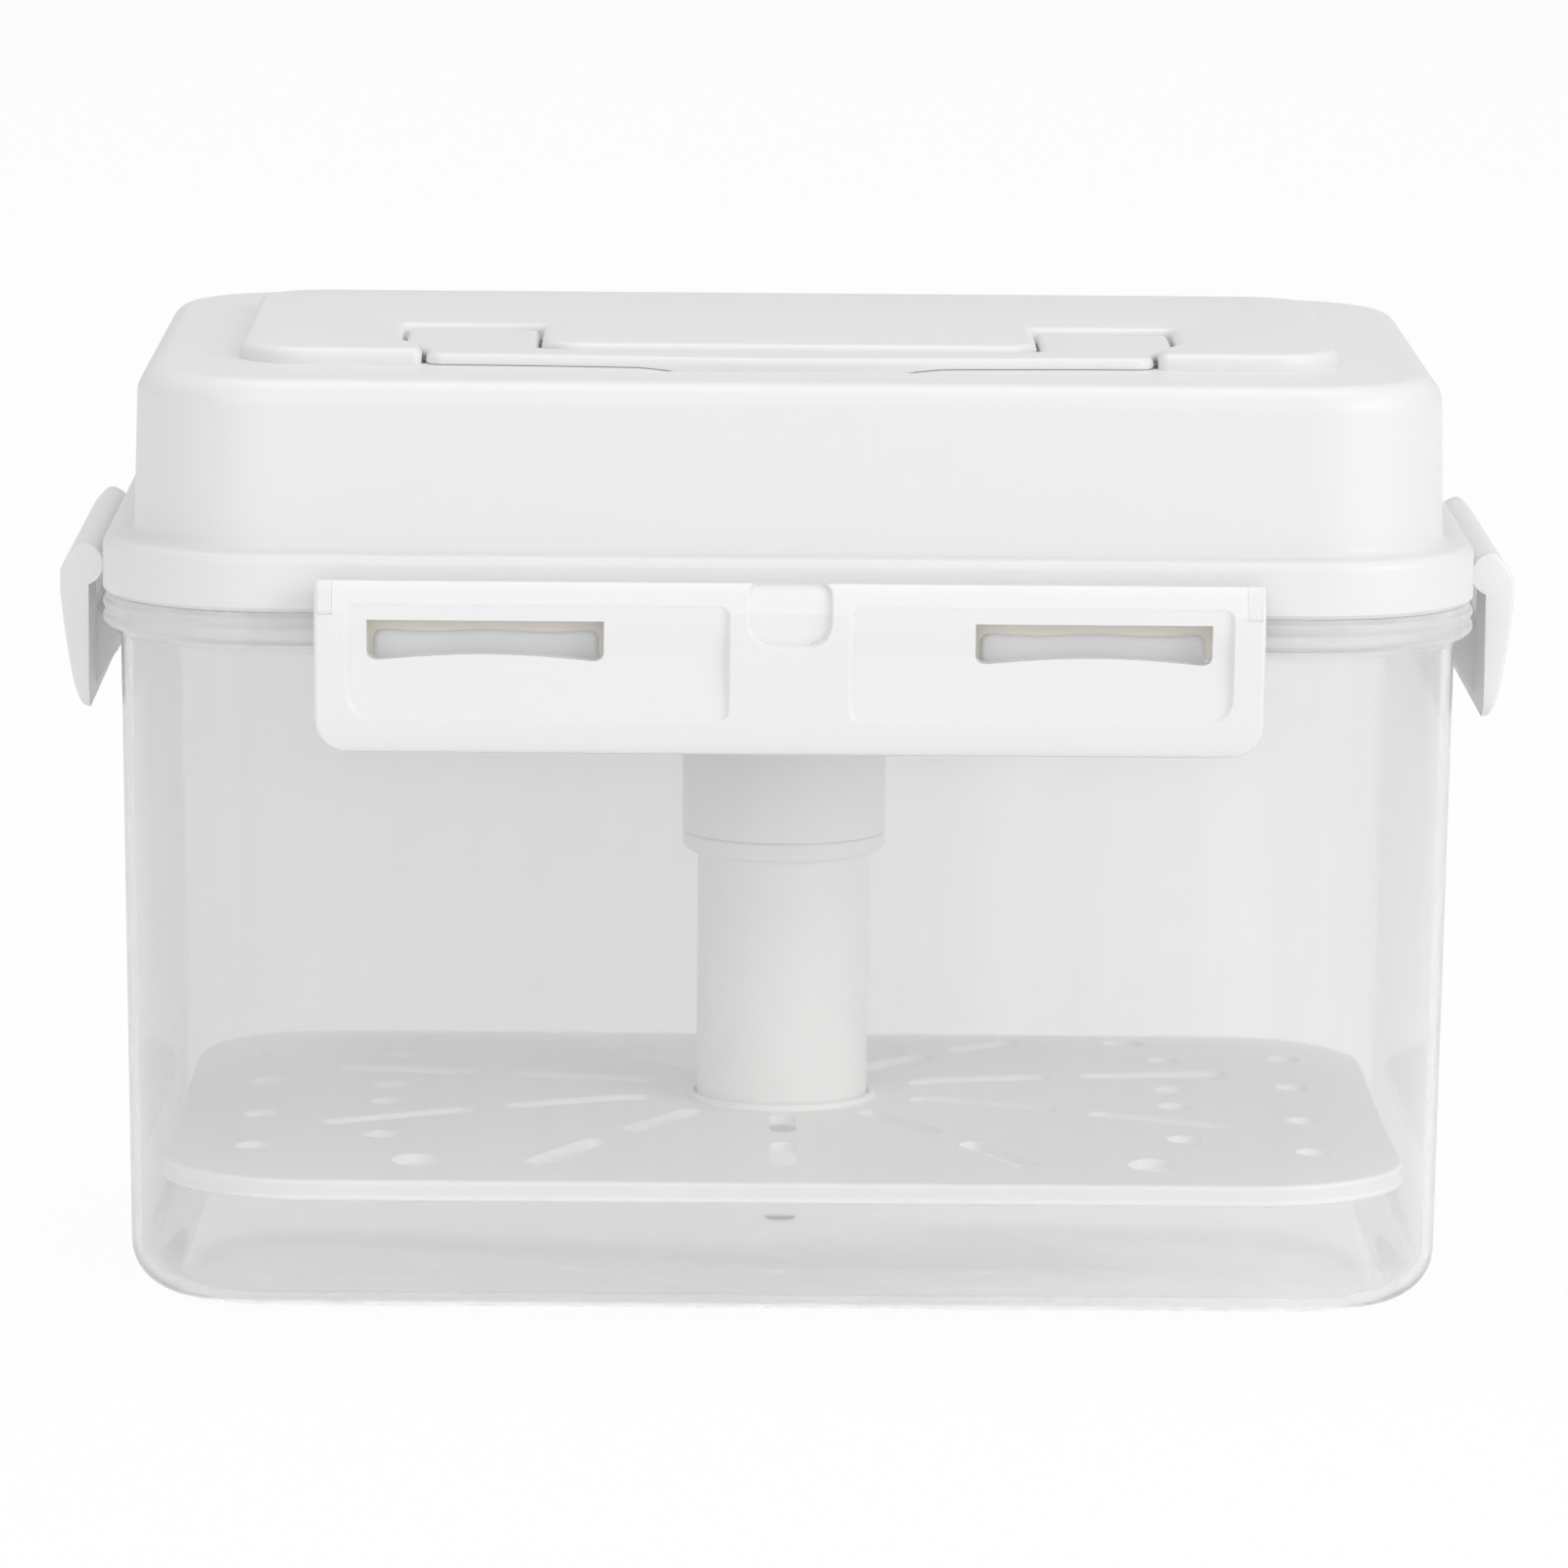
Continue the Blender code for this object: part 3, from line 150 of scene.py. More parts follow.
def make_world():
    """Even white light. Straight looks and looks through clear plastic see a plain white."""
    world = bpy.data.worlds.new("studio")
    add = node_tools(world)
    ambient = add("Background", {"Color": (0.99, 0.993, 0.997, 1.0), "Strength": AMBIENT_STRENGTH})
    white = add("Background", {"Strength": 1.0})
    straight, _ = white_looks(add)
    mixed = add("MixShader", {0: straight, 1: ambient, 2: white})
    add("OutputWorld", {0: mixed})
    return world


AMBIENT_STRENGTH = 0.63
FLOOR_HALF, FLOOR_PAPER = 7.0, 0.93
FLOOR_WHITE_SHARE = 0.94
DIM_LEFT, DIM_RIGHT, DIM_SHARE = -0.03, 0.125, 0.22
FRONT_LAMP_WATTS = 15.5
SIDE_LAMP_WATTS = 24.0
TOP_LAMP_WATTS = 10.5

scene.world = make_world()
softbox("front_lamp", (-0.9, -2.5, 1.45), (0, 0, 0.1), 2.4, 1.6, FRONT_LAMP_WATTS)
softbox("side_lamp", (2.1, -1.5, 1.2), (0, 0, 0.1), 1.6, 1.8, SIDE_LAMP_WATTS)
softbox("top_lamp", (0.1, 0.3, 2.2), (0, 0, 0.1), 1.7, 1.0, TOP_LAMP_WATTS)


def make_floor():
    """One large square sheet at the level that the box stands on. What the clear plastic shows of it
    glows a little dimmer on the left, as painted shade for the box's dimmer left side: 1 − share × a
    smooth S along X."""
    half = FLOOR_HALF
    mesh = bpy.data.meshes.new("floor")
    mesh.from_pydata([(-half, -half, 0), (half, -half, 0), (half, half, 0), (-half, half, 0)], [],
                     [(0, 1, 2, 3)])
    floor = bpy.data.objects.new("floor", mesh)
    scene.collection.objects.link(floor)
    material, add, place = new_material("pale_floor")
    paper = add("BsdfDiffuse", {"Color": (FLOOR_PAPER, FLOOR_PAPER, FLOOR_PAPER, 1.0)})
    straight, path = white_looks(add)
    # Painted shade: the floor seen through the clear plastic glows dimmer towards the left.
    dim = add("MapRange", {"Value": add("SeparateXYZ", {0: place}).outputs["X"], "From Min": DIM_LEFT,
                           "From Max": DIM_RIGHT, "To Min": DIM_SHARE, "To Max": 0.0},
              interpolation_type="SMOOTHSTEP")
    through = add("Math", {0: dim, 1: path.outputs["Is Transmission Ray"]}, operation="MULTIPLY")
    bright = add("Math", {0: 1.0, 1: through}, operation="SUBTRACT")
    glow = add("Emission", {"Strength": bright})
    seen = add("Math", {0: straight, 1: path.outputs["Is Glossy Ray"]}, operation="MAXIMUM")
    share = add("Math", {0: seen, 1: FLOOR_WHITE_SHARE}, operation="MULTIPLY")
    mixed = add("MixShader", {0: share, 1: paper, 2: glow})
    add("OutputMaterial", {0: mixed})
    mesh.materials.append(material)
    return floor


make_floor()
print("lamps and floor made")

# %% [markdown]
# ## Plastics
# Moulded plastic is never quite one colour or quite flat. A wide, faint cloud of noise shifts the
# colour, a second one shifts the roughness, and a fine grain with long, low ripples bends the
# reflections. All noise reads Object coordinates, so it stays on the piece when the piece moves.

# %% Moulded white plastics


def spread(add, noise, low, high):
    """Noise values of 0.3 to 0.7, spread from low to high."""
    return add("MapRange", {"Value": noise, "From Min": 0.3, "From Max": 0.7,
                            "To Min": low, "To Max": high})


def moulded(name, colour, shade, roughness, light_through=0.0):
    """Opaque moulded plastic: colour mixed towards shade by a cloud, with grain and ripples as bump."""
    material, add, place = new_material(name)
    cloud = add("TexNoise", {"Vector": place, "Scale": 22.0, "Detail": 5.0, "Roughness": 0.6})
    speck = add("TexNoise", {"Vector": place, "Scale": 240.0, "Detail": 3.0, "Roughness": 0.6})
    grain = add("TexNoise", {"Vector": place, "Scale": 2600.0, "Detail": 2.0})
    ripple = add("TexNoise", {"Vector": place, "Scale": 9.0, "Detail": 1.0})
    tint = add("Mix", {0: cloud, 6: (*colour, 1.0), 7: (*shade, 1.0)}, data_type="RGBA")
    rough = spread(add, speck, roughness - 0.04, roughness + 0.05)
    fine = add("Bump", {"Strength": 0.35, "Distance": 0.000002, "Height": grain})
    wide = add("Bump", {"Strength": 0.5, "Distance": 0.00012, "Height": ripple, "Normal": fine})
    shader = add("BsdfPrincipled", {
        "Base Color": tint.outputs[2], "Roughness": rough, "IOR": 1.49, "Normal": wide,
        "Subsurface Weight": light_through, "Subsurface Radius": (1.0, 0.95, 0.9),
        "Subsurface Scale": 0.0015})
    add("OutputMaterial", {0: shader})
    return material


# Lid and clasps are one white plastic in two copies: the lid's copy is painted darker and the clasps'
# copy lighter. This is painted shade and painted light, set to how the lamps fall on each.
lid_white = moulded("lid_white", (0.808, 0.808, 0.810), (0.788, 0.789, 0.792), 0.37)
clasp_white = moulded("clasp_white", (0.835, 0.835, 0.832), (0.815, 0.815, 0.812), 0.37)
# The press's white is painted lighter than its plastic: painted light for the light that reaches it
# inside the box.
press_white = moulded("press_white", (0.925, 0.92, 0.905), (0.90, 0.895, 0.88), 0.42)
soft_seal = moulded("soft_seal", (0.76, 0.765, 0.75), (0.72, 0.725, 0.71), 0.55)
print("white plastics made")

# %% [markdown]
# ## Clear plastic
# The box is clear, faintly blue-grey and a little cloudy, as food boxes of this kind are. Glass bends
# what is seen through it, and the shader does this with its Transmission. Lamps have to shine into
# the box as well, so rays that look for a lamp pass through a plain tinted see-through shader.

# %% Clear plastic
HAZE_START, HAZE_FULL, RIM_HAZE = 0.1370, 0.1415, 0.50


def clear_plastic(name, colour, lamp_tint, roughness, haze):
    """Clear plastic with milky haze in it, which lamps shine through. The haze gathers in the thick rim
    and in faint upright flow lines of the moulding."""
    material, add, place = new_material(name)
    ripple = add("TexNoise", {"Vector": place, "Scale": 14.0, "Detail": 2.0})
    speck = add("TexNoise", {"Vector": place, "Scale": 30.0, "Detail": 3.0})
    glass = add("BsdfPrincipled", {
        "Base Color": (*colour, 1.0), "IOR": 1.45, "Transmission Weight": 1.0,
        "Roughness": spread(add, speck, roughness * 0.85, roughness * 1.15),
        "Normal": add("Bump", {"Strength": 0.25, "Distance": 0.00003, "Height": ripple})})
    behind = add("BsdfTranslucent", {"Color": (0.93, 0.935, 0.94, 1.0)})
    before = add("BsdfDiffuse", {"Color": (0.93, 0.93, 0.925, 1.0)})
    milk = add("MixShader", {1: behind, 2: before})
    height = add("SeparateXYZ", {0: place}).outputs["Z"]
    at_rim = add("MapRange", {"Value": height, "From Min": HAZE_START, "From Max": HAZE_FULL,
                              "To Min": haze, "To Max": haze + RIM_HAZE},
                 interpolation_type="SMOOTHSTEP")
    upright = add("Mapping", {"Vector": place, "Scale": (60.0, 60.0, 3.0)})
    flow = add("TexNoise", {"Vector": upright, "Scale": 1.0, "Detail": 2.0})
    amount = add("Math", {0: at_rim, 1: spread(add, flow, 0.8, 1.25)}, operation="MULTIPLY")
    cloudy = add("MixShader", {0: amount, 1: glass, 2: milk})
    passing = add("BsdfTransparent", {"Color": (*lamp_tint, 1.0)})
    path = add("LightPath")
    lit = add("Math", {0: path.outputs["Is Shadow Ray"], 1: path.outputs["Is Diffuse Ray"]},
              operation="MAXIMUM")
    mixed = add("MixShader", {0: lit, 1: cloudy, 2: passing})
    add("OutputMaterial", {0: mixed})
    return material


box_clear = clear_plastic("box_clear", (0.970, 0.973, 0.976), (0.985, 0.986, 0.987), 0.05, 0.11)
print("clear plastic made")

# %% [markdown]
# ## Steel
# Pins, screws and spring are drawn stainless wire: bright metal with a fine, uneven grain.

# %% Steel


def drawn_steel(name):
    """Metal whose roughness and height follow a fine noise."""
    material, add, place = new_material(name)
    lines = add("TexNoise", {"Vector": place, "Scale": 900.0, "Detail": 3.0})
    rough = add("MapRange", {"Value": lines, "To Min": 0.20, "To Max": 0.42})
    bump = add("Bump", {"Strength": 0.3, "Distance": 0.00002, "Height": lines})
    shader = add("BsdfPrincipled", {"Base Color": (0.62, 0.63, 0.65, 1.0), "Metallic": 1.0,
                                    "Roughness": rough, "Normal": bump})
    add("OutputMaterial", {0: shader})
    return material


steel = drawn_steel("drawn_steel")
print("steel made")

# %% [markdown]
# ## Tools for surfaces
# Every piece below is a grid of points: a stack of rings, a profile turned about an axis, or a sheet
# of heights. One helper turns such a grid into faces, and the points themselves come from short
# formulas on whole arrays.

# %% Grids of points to meshes
SMOOTH_DEGREES = 38


def mesh_piece(name, points, corners, counts, material, body, nodes=()):
    """A mesh from points, one run of corner numbers, and how many corners each face takes."""
    mesh = bpy.data.meshes.new(name)
    mesh.vertices.add(len(points))
    mesh.vertices.foreach_set("co", np.ascontiguousarray(points, dtype=np.float32).ravel())
    mesh.loops.add(len(corners))
    mesh.loops.foreach_set("vertex_index", np.ascontiguousarray(corners, dtype=np.int32))
    mesh.polygons.add(len(counts))
    starts = np.concatenate(([0], np.cumsum(counts)[:-1]))
    mesh.polygons.foreach_set("loop_start", starts.astype(np.int32))
    mesh.update(calc_edges=True)
    mesh.validate()
    work = bmesh.new()
    work.from_mesh(mesh)
    bmesh.ops.recalc_face_normals(work, faces=work.faces)
    work.to_mesh(mesh)
    work.free()
    piece = bpy.data.objects.new(name, mesh)
    scene.collection.objects.link(piece)
    return dress(piece, material, body, nodes)


def dress(piece, material, body=None, nodes=()):
    """Smooth shading with crisp creases, the finish, and the body that the piece rides on."""
    mesh = piece.data
    mesh.materials.clear()
    if material is not None:
        mesh.materials.append(material)
    mesh.shade_smooth()
    mesh.set_sharp_from_angle(angle=math.radians(SMOOTH_DEGREES))
    if body:
        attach(piece, body)
    if nodes:
        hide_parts(*nodes)
    return piece


def grid_faces(rows, columns, wrap_rows=False, wrap_columns=False):
    """Corner numbers of a grid's four-sided faces. A wrapped side joins its last line to its first."""
    row = np.arange(rows if wrap_rows else rows - 1)[:, None]
    column = np.arange(columns if wrap_columns else columns - 1)[None, :]
    row_after = (row + 1) % rows
    column_after = (column + 1) % columns
    corners = (row * columns + column, row * columns + column_after,
               row_after * columns + column_after, row_after * columns + column)
    return np.stack(corners, axis=-1).reshape(-1, 4)


def shell(name, rings, material=None, body=None, nodes=(), closed=False):
    """Skin through a stack of rings. Closed joins the last ring to the first; otherwise flat ends
    close it. A tool for cutting or joining is a shell without material, body and slot."""
    rows, columns = rings.shape[:2]
    faces = grid_faces(rows, columns, wrap_rows=closed, wrap_columns=True)
    corners = faces.ravel()
    counts = np.full(len(faces), 4)
    if not closed:
        first = np.arange(columns)[::-1]
        last = np.arange(columns) + (rows - 1) * columns
        corners = np.concatenate((corners, first, last))
        counts = np.concatenate((counts, [columns, columns]))
    return mesh_piece(name, rings.reshape(-1, 3), corners, counts, material, body, nodes)


def bend(centre, radius, start, end, steps=8):
    """Points on an arc: centre + radius × (cos, sin) of angles spread evenly, in degrees."""
    angle = np.radians(np.linspace(start, end, steps + 1))
    return np.column_stack((centre[0] + radius * np.cos(angle), centre[1] + radius * np.sin(angle)))


def with_heights(flat, height):
    """Stacked plans with one height each, as points in space."""
    level = np.broadcast_to(height[:, None, None], (*flat.shape[:2], 1))
    return np.concatenate((flat, level), axis=-1)


def plan_rings(profile, half_x, half_y, radius, corner_steps=20, side_steps=5):
    """Rounded rectangles, one for each (inset, height). A point is the centre of its corner plus its
    direction times (radius − inset); points of a straight side share the direction of that side."""
    turn = np.radians(90.0 * np.arange(4))[:, None]
    angle = turn + np.radians(np.linspace(0, 90, corner_steps + 1))[None, :]
    direction = np.stack((np.cos(angle), np.sin(angle)), axis=-1)
    corner = np.array([(1, 1), (-1, 1), (-1, -1), (1, -1)]) * (half_x - radius, half_y - radius)
    centre = np.repeat(corner[:, None], corner_steps + 1, axis=1)
    share = (np.arange(side_steps) + 1)[None, :, None] / (side_steps + 1)
    along = corner[:, None] * (1 - share) + np.roll(corner, -1, axis=0)[:, None] * share
    outward = np.repeat(direction[:, -1:], side_steps, axis=1)
    centre = np.concatenate((centre, along), axis=1).reshape(-1, 2)
    direction = np.concatenate((direction, outward), axis=1).reshape(-1, 2)
    inset, height = np.asarray(profile, dtype=float).T
    return with_heights(centre[None] + (radius - inset)[:, None, None] * direction[None], height)


def turned_rings(profile, steps=96):
    """Rings about the upright axis, one for each (radius, height)."""
    radius, height = np.asarray(profile, dtype=float).T
    angle = 2 * np.pi * np.arange(steps) / steps
    circle = np.column_stack((np.cos(angle), np.sin(angle)))
    return with_heights(radius[:, None, None] * circle[None], height)


def outline_rings(outline, levels):
    """Copies of a flat outline, one for each (inset, height), each drawn in along its own normals."""
    ahead = np.roll(outline, -1, axis=0) - outline
    ahead /= np.linalg.norm(ahead, axis=1, keepdims=True)
    behind = np.roll(ahead, 1, axis=0)
    normal = np.stack((ahead[:, 1] + behind[:, 1], -ahead[:, 0] - behind[:, 0]), axis=1)
    normal /= np.linalg.norm(normal, axis=1, keepdims=True)
    straight = np.stack((ahead[:, 1], -ahead[:, 0]), axis=1)
    normal /= np.maximum(np.sum(normal * straight, axis=1, keepdims=True), 0.4)
    inset, height = np.asarray(levels, dtype=float).T
    return with_heights(outline[None] - inset[:, None, None] * normal[None], height)


def bar_along_x(name, outline, start, end):
    """A bar from x = start to x = end, whose section is an outline of (y, z)."""
    rings = np.empty((2, len(outline), 3))
    rings[..., 0] = np.array([start, end])[:, None]
    rings[..., 1:] = outline
    return shell(name, rings)


def carve(piece, tools, operation):
    """Cut tools from a piece, or fuse them to it, with exact Booleans."""
    for tool in tools:
        step = piece.modifiers.new("carve", "BOOLEAN")
        step.object = tool
        step.operation = operation
        step.solver = "EXACT"
        graph = bpy.context.evaluated_depsgraph_get()
        result = bpy.data.meshes.new_from_object(piece.evaluated_get(graph))
        piece.modifiers.clear()
        piece.data = result
        bpy.data.objects.remove(tool, do_unlink=True)
    return piece


print("surface tools ready")

# %% [markdown]
# ## The clear box
# One moulding: a flat base with a round foot, walls that lean out by two millimetres, a rim with two
# beads that stiffen it, and a thin lip above the rim that enters the lid. The wall has its real
# thickness, because clear plastic shows both of its faces and the light that runs between them.

# %% The clear box
PLAN_HALF_X, PLAN_HALF_Y, PLAN_RADIUS = 0.1425, 0.0980, 0.0360
RIM_TOP, RIM_BOTTOM, LIP_TOP = 0.1472, 0.1405, 0.1537
WALL_INSET, WALL_DRAFT, WALL, FLOOR = 0.0036, 0.0021, 0.0022, 0.0025
FOOT_RADIUS = 0.0100


def wall_inset(height):
    """How far the outer wall stands in from the flange's outline at a height."""
    return WALL_INSET + WALL_DRAFT * (1 - height / RIM_TOP)


def make_clear_box():
    """The profile runs out over the base, up the wall, over rim and lip, and down the inside."""
    base = wall_inset(0)
    foot = bend((base + FOOT_RADIUS, FOOT_RADIUS), FOOT_RADIUS, 270, 180, 12)
    beads = np.array([(wall_inset(RIM_BOTTOM), RIM_BOTTOM), (0.0011, RIM_BOTTOM), (0.0003, 0.1412),
                      (0.0, 0.1417), (0.0, 0.1427), (0.0002, 0.1431), (0.0005, 0.1435),
                      (0.0005, 0.1440), (0.0002, 0.1444), (0.0, 0.1448), (0.0, 0.1456),
                      (0.0003, 0.1460), (0.0006, 0.1462), (0.0006, RIM_TOP)])
    lip = np.array([(WALL_INSET, RIM_TOP), (WALL_INSET, LIP_TOP - 0.0006),
                    (WALL_INSET + 0.0006, LIP_TOP), (WALL_INSET + WALL - 0.0006, LIP_TOP),
                    (WALL_INSET + WALL, LIP_TOP - 0.0006), (WALL_INSET + WALL, RIM_TOP)])
    inner_radius = FOOT_RADIUS - WALL
    inside = bend((base + FOOT_RADIUS, FLOOR + inner_radius), inner_radius, 180, 270, 12)
    profile = np.concatenate((foot, beads, lip, inside))
    rings = plan_rings(profile, PLAN_HALF_X, PLAN_HALF_Y, PLAN_RADIUS, corner_steps=28, side_steps=9)
    return shell("clear_box", rings, box_clear, "container", ["container_body"])


clear_box = make_clear_box()
gate_profile = [(0.0004, 0.0026), (0.0034, 0.0026), (0.0034, 0.0027), (0.0031, 0.0028), (0.0004, 0.0028)]
shell("gate_mark", turned_rings(gate_profile, 48), box_clear, "container")
print("clear_box faces", len(clear_box.data.polygons))

# %% [markdown]
# ## The lid
# A flange with a skirt, and a tall hollow dome whose edges are all rounded, because light on a white
# moulding is read from its edges. A shallow well in the roof takes the folded handle. The dome is a
# stack of rings that are joined into one closed wall, and the well is cut into it afterwards.

# %% The lid's wall
SKIRT_BOTTOM, FLANGE_TOP, CHANNEL_TOP = 0.1475, 0.1593, 0.1570
DOME_TOP, DOME_UNDER = 0.1943, 0.1921
DOME_INSET, DOME_DRAFT, DOME_WALL = 0.0066, 0.0006, 0.0022
WELL_HALF_X, WELL_BACK, WELL_FRONT, WELL_BOTTOM = 0.0815, -0.0095, -0.0565, 0.1871
PLUG_INNER, PLUG_OUTER, PLUG_BOTTOM = 0.0083, 0.0063, 0.1430
SEAT_LEVEL, SEAT_INNER, SEAT_OUTER = 0.1848, 0.0300, 0.0380
HINGE_OUT, HINGE_HEIGHT, BARREL = 0.0055, 0.1505, 0.0045


def dome_side(inset, foot, top, foot_radius, top_radius):
    """Foot fillet, leaning wall and round shoulder, as (inset, height)."""
    low = bend((inset - foot_radius, foot + foot_radius), foot_radius, -90, 0, 6)
    high = bend((inset + DOME_DRAFT + top_radius, top - top_radius), top_radius, 180, 90, 12)
    return np.concatenate((low, high))


def block(name, low, high, radius=0.0015):
    """A box with rounded upright edges, used as a cutting or filling tool."""
    half_x, half_y = (high[0] - low[0]) / 2, (high[1] - low[1]) / 2
    rings = plan_rings([(0, low[2]), (0, high[2])], half_x, half_y, radius, 4, 0)
    rings[..., 0] += (high[0] + low[0]) / 2
    rings[..., 1] += (high[1] + low[1]) / 2
    return shell(name, rings)


def rod(name, radius, low, high, y, z, steps=32):
    """A round bar from x = low to x = high."""
    angle = 2 * np.pi * np.arange(steps) / steps
    outline = np.column_stack((y + radius * np.cos(angle), z + radius * np.sin(angle)))
    return bar_along_x(name, outline, low, high)


def make_lid():
    """Outer side from the skirt up over the roof; the inner side comes back down to the plug."""
    outside = np.concatenate(([(0.0008, SKIRT_BOTTOM), (0.0, SKIRT_BOTTOM + 0.0008)],
                              bend((0.0022, FLANGE_TOP - 0.0022), 0.0022, 180, 90, 8),
                              dome_side(DOME_INSET, FLANGE_TOP, DOME_TOP, 0.0022, 0.0055)))
    ceiling = dome_side(DOME_INSET + DOME_WALL, CHANNEL_TOP, DOME_UNDER, 0.0005, 0.0033)[::-1]
    under = np.array([(PLUG_INNER, PLUG_BOTTOM), (PLUG_OUTER, PLUG_BOTTOM), (PLUG_OUTER, CHANNEL_TOP),
                      (0.0022, CHANNEL_TOP), (0.0022, SKIRT_BOTTOM)])
    roof = plan_rings(np.concatenate((ceiling, under, outside)), PLAN_HALF_X, PLAN_HALF_Y,
                      PLAN_RADIUS, corner_steps=24, side_steps=7)
    return shell("lid_cover", roof, lid_white, "lid", ["lid_shell"])


lid_cover = make_lid()
print("lid_cover faces", len(lid_cover.data.polygons))

# %% The lid's well, seat and hinge ears
EAR_WIDTH, EAR_NECK, EAR_COVER, EAR_GAP = 0.0029, 0.0020, 0.0007, 0.00003
ROOF_LOW, EAR_SWELL, EAR_SWELL_LOW, EAR_ROOT = -0.0015, 0.00472, 0.0027, 0.0011
LONG_HALF, SHORT_HALF = 0.0969, 0.0480
CLASP_SIDES = {
    "front": (0, LONG_HALF, PLAN_HALF_Y + HINGE_OUT),
    "right": (90, SHORT_HALF, PLAN_HALF_X + HINGE_OUT),
    "rear": (180, LONG_HALF, PLAN_HALF_Y + HINGE_OUT),
    "left": (270, SHORT_HALF, PLAN_HALF_X + HINGE_OUT),
}


def turn_about_z(piece, degrees):
    """Turn the mesh, and not the object, about the upright axis."""
    piece.data.transform(Matrix.Rotation(math.radians(degrees), 4, "Z"))
    return piece


def roof(z):
    """How far the sloping top of a hinge stands out at a height: barrel × (1 − s^1.3)^(1 / 1.3), where s
    is the share of the way from the slope's foot to the barrel's top."""
    share = np.clip((z - ROOF_LOW) / (BARREL - ROOF_LOW), 0, 1)
    return BARREL * (1 - share ** 1.3) ** (1 / 1.3)


def make_ears():
    """Ears near both ends of each clasp: an eye with the clasp's own sloping top, on a neck that stands
    out of the flange. Just under the slope the eye swells a little, so that it fills the clasp's gap."""
    ears = []
    for degrees, half, reach in CLASP_SIDES.values():
        neck = math.degrees(math.asin(EAR_NECK / BARREL))
        root = HINGE_OUT + EAR_ROOT
        eye = bend((-reach, HINGE_HEIGHT), BARREL, -neck, neck - 360, 60)
        sloping = (eye[:, 0] < -reach) & (eye[:, 1] > HINGE_HEIGHT + ROOF_LOW)
        eye[sloping, 0] = -reach - roof(eye[sloping, 1] - HINGE_HEIGHT)
        depth = HINGE_HEIGHT - eye[:, 1]
        below = (eye[:, 0] < -reach) & (depth >= -ROOF_LOW) & (depth < EAR_SWELL_LOW)
        middle = np.array([-reach, HINGE_HEIGHT])
        eye[below] = middle + (eye[below] - middle) * EAR_SWELL / BARREL
        outline = np.concatenate(([(root - reach, HINGE_HEIGHT - EAR_NECK)], eye,
                                  [(root - reach, HINGE_HEIGHT + EAR_NECK)]))
        for end in (-1, 1):
            outer = half - EAR_COVER - EAR_GAP
            low, high = np.sort((end * outer, end * (outer - EAR_WIDTH)))
            ears.append(turn_about_z(bar_along_x("ear", outline, high, low), degrees))
    return ears


LIP_HALF, LIP_FLAT, LIP_DROP, SCOOP_FRONT = 0.0330, 0.0132, 0.0018, -0.0682


def lip_share(x):
    """1 in the flat middle of the grip's lip and 0 beyond its ends, with a smooth S between."""
    share = np.clip((LIP_HALF - np.abs(x)) / (LIP_HALF - LIP_FLAT), 0, 1)
    return share * share * (3 - 2 * share)


def make_scoop():
    """Rings across X: a low floor that follows the lip and rises in a quarter arc towards the front."""
    x = np.linspace(-LIP_HALF, LIP_HALF, 49)
    rise = np.radians(np.linspace(0, 90, 9))
    y = np.concatenate(([WELL_FRONT + 0.001], SCOOP_FRONT + 0.0030 * (1 - np.sin(rise))))
    low = np.concatenate(([1.0], np.cos(rise)))
    rings = np.empty((len(x), len(y) + 2, 3))
    rings[..., 0] = x[:, None]
    rings[:, :-2, 1] = y
    rings[:, :-2, 2] = DOME_TOP - LIP_DROP * lip_share(x)[:, None] * low
    rings[:, -2, 1:] = (y[-1], DOME_TOP + 0.002)
    rings[:, -1, 1:] = (y[0], DOME_TOP + 0.002)
    return shell("scoop", rings)


into_roof = DOME_TOP - DOME_WALL / 2
tray = block("tray", (-WELL_HALF_X - 0.004, WELL_FRONT - 0.004, SEAT_LEVEL),
             (WELL_HALF_X + 0.004, WELL_BACK + 0.004, into_roof))
seat_ring = [(SEAT_INNER, SEAT_LEVEL), (SEAT_OUTER, SEAT_LEVEL), (SEAT_OUTER, into_roof),
             (SEAT_INNER, into_roof)]
seat = shell("seat", turned_rings(seat_ring, 64), closed=True)
well = block("well", (-WELL_HALF_X, WELL_FRONT, WELL_BOTTOM), (WELL_HALF_X, WELL_BACK, DOME_TOP + 0.002))
boss = block("boss", (-LIP_HALF, SCOOP_FRONT - 0.0022, DOME_TOP - LIP_DROP - 0.0022),
             (LIP_HALF, WELL_FRONT + 0.001, into_roof))
carve(lid_cover, [seat, tray, boss] + make_ears(), "UNION")
carve(lid_cover, [well, make_scoop()], "DIFFERENCE")
dress(lid_cover, lid_white, "lid")
print("lid_cover carved, faces", len(lid_cover.data.polygons))

# %% [markdown]
# ## The raised cover
# A flat plate on the roof, open at the front round the handle. Its tongue fills the handle's U. It is
# one outline, drawn in a little at its upper edge so that this edge is soft.

# %% The raised cover
PANEL_HALF_X, PANEL_HALF_Y, PANEL_RADIUS = 0.1150, 0.0600, 0.0150
PANEL_BOTTOM, PANEL_TOP, PANEL_EDGE = 0.1943, 0.1977, 0.0020
TONGUE_HALF, TONGUE_TIP, TONGUE_RADIUS = 0.0520, -0.0465, 0.0090
MOUTH_NARROWING, MOUTH_RADIUS = 0.0049, 0.0022


def mirrored(right, shared=0):
    """A run of points on the right, then its mirror image on the left in reverse order, less the points
    at the run's end that lie on the middle line and that both sides share."""
    left = right[:len(right) - shared][::-1].copy()
    left[:, 0] *= -1
    return np.concatenate((right, left))


def taper(wide, narrowing, start, end, steps=14):
    """Plan points from y = start to y = end, where x narrows by a smooth S."""
    share = np.linspace(0, 1, steps + 1)
    x = wide - narrowing * (1 - np.cos(np.pi * share)) / 2
    return np.column_stack((x, start + (end - start) * share))


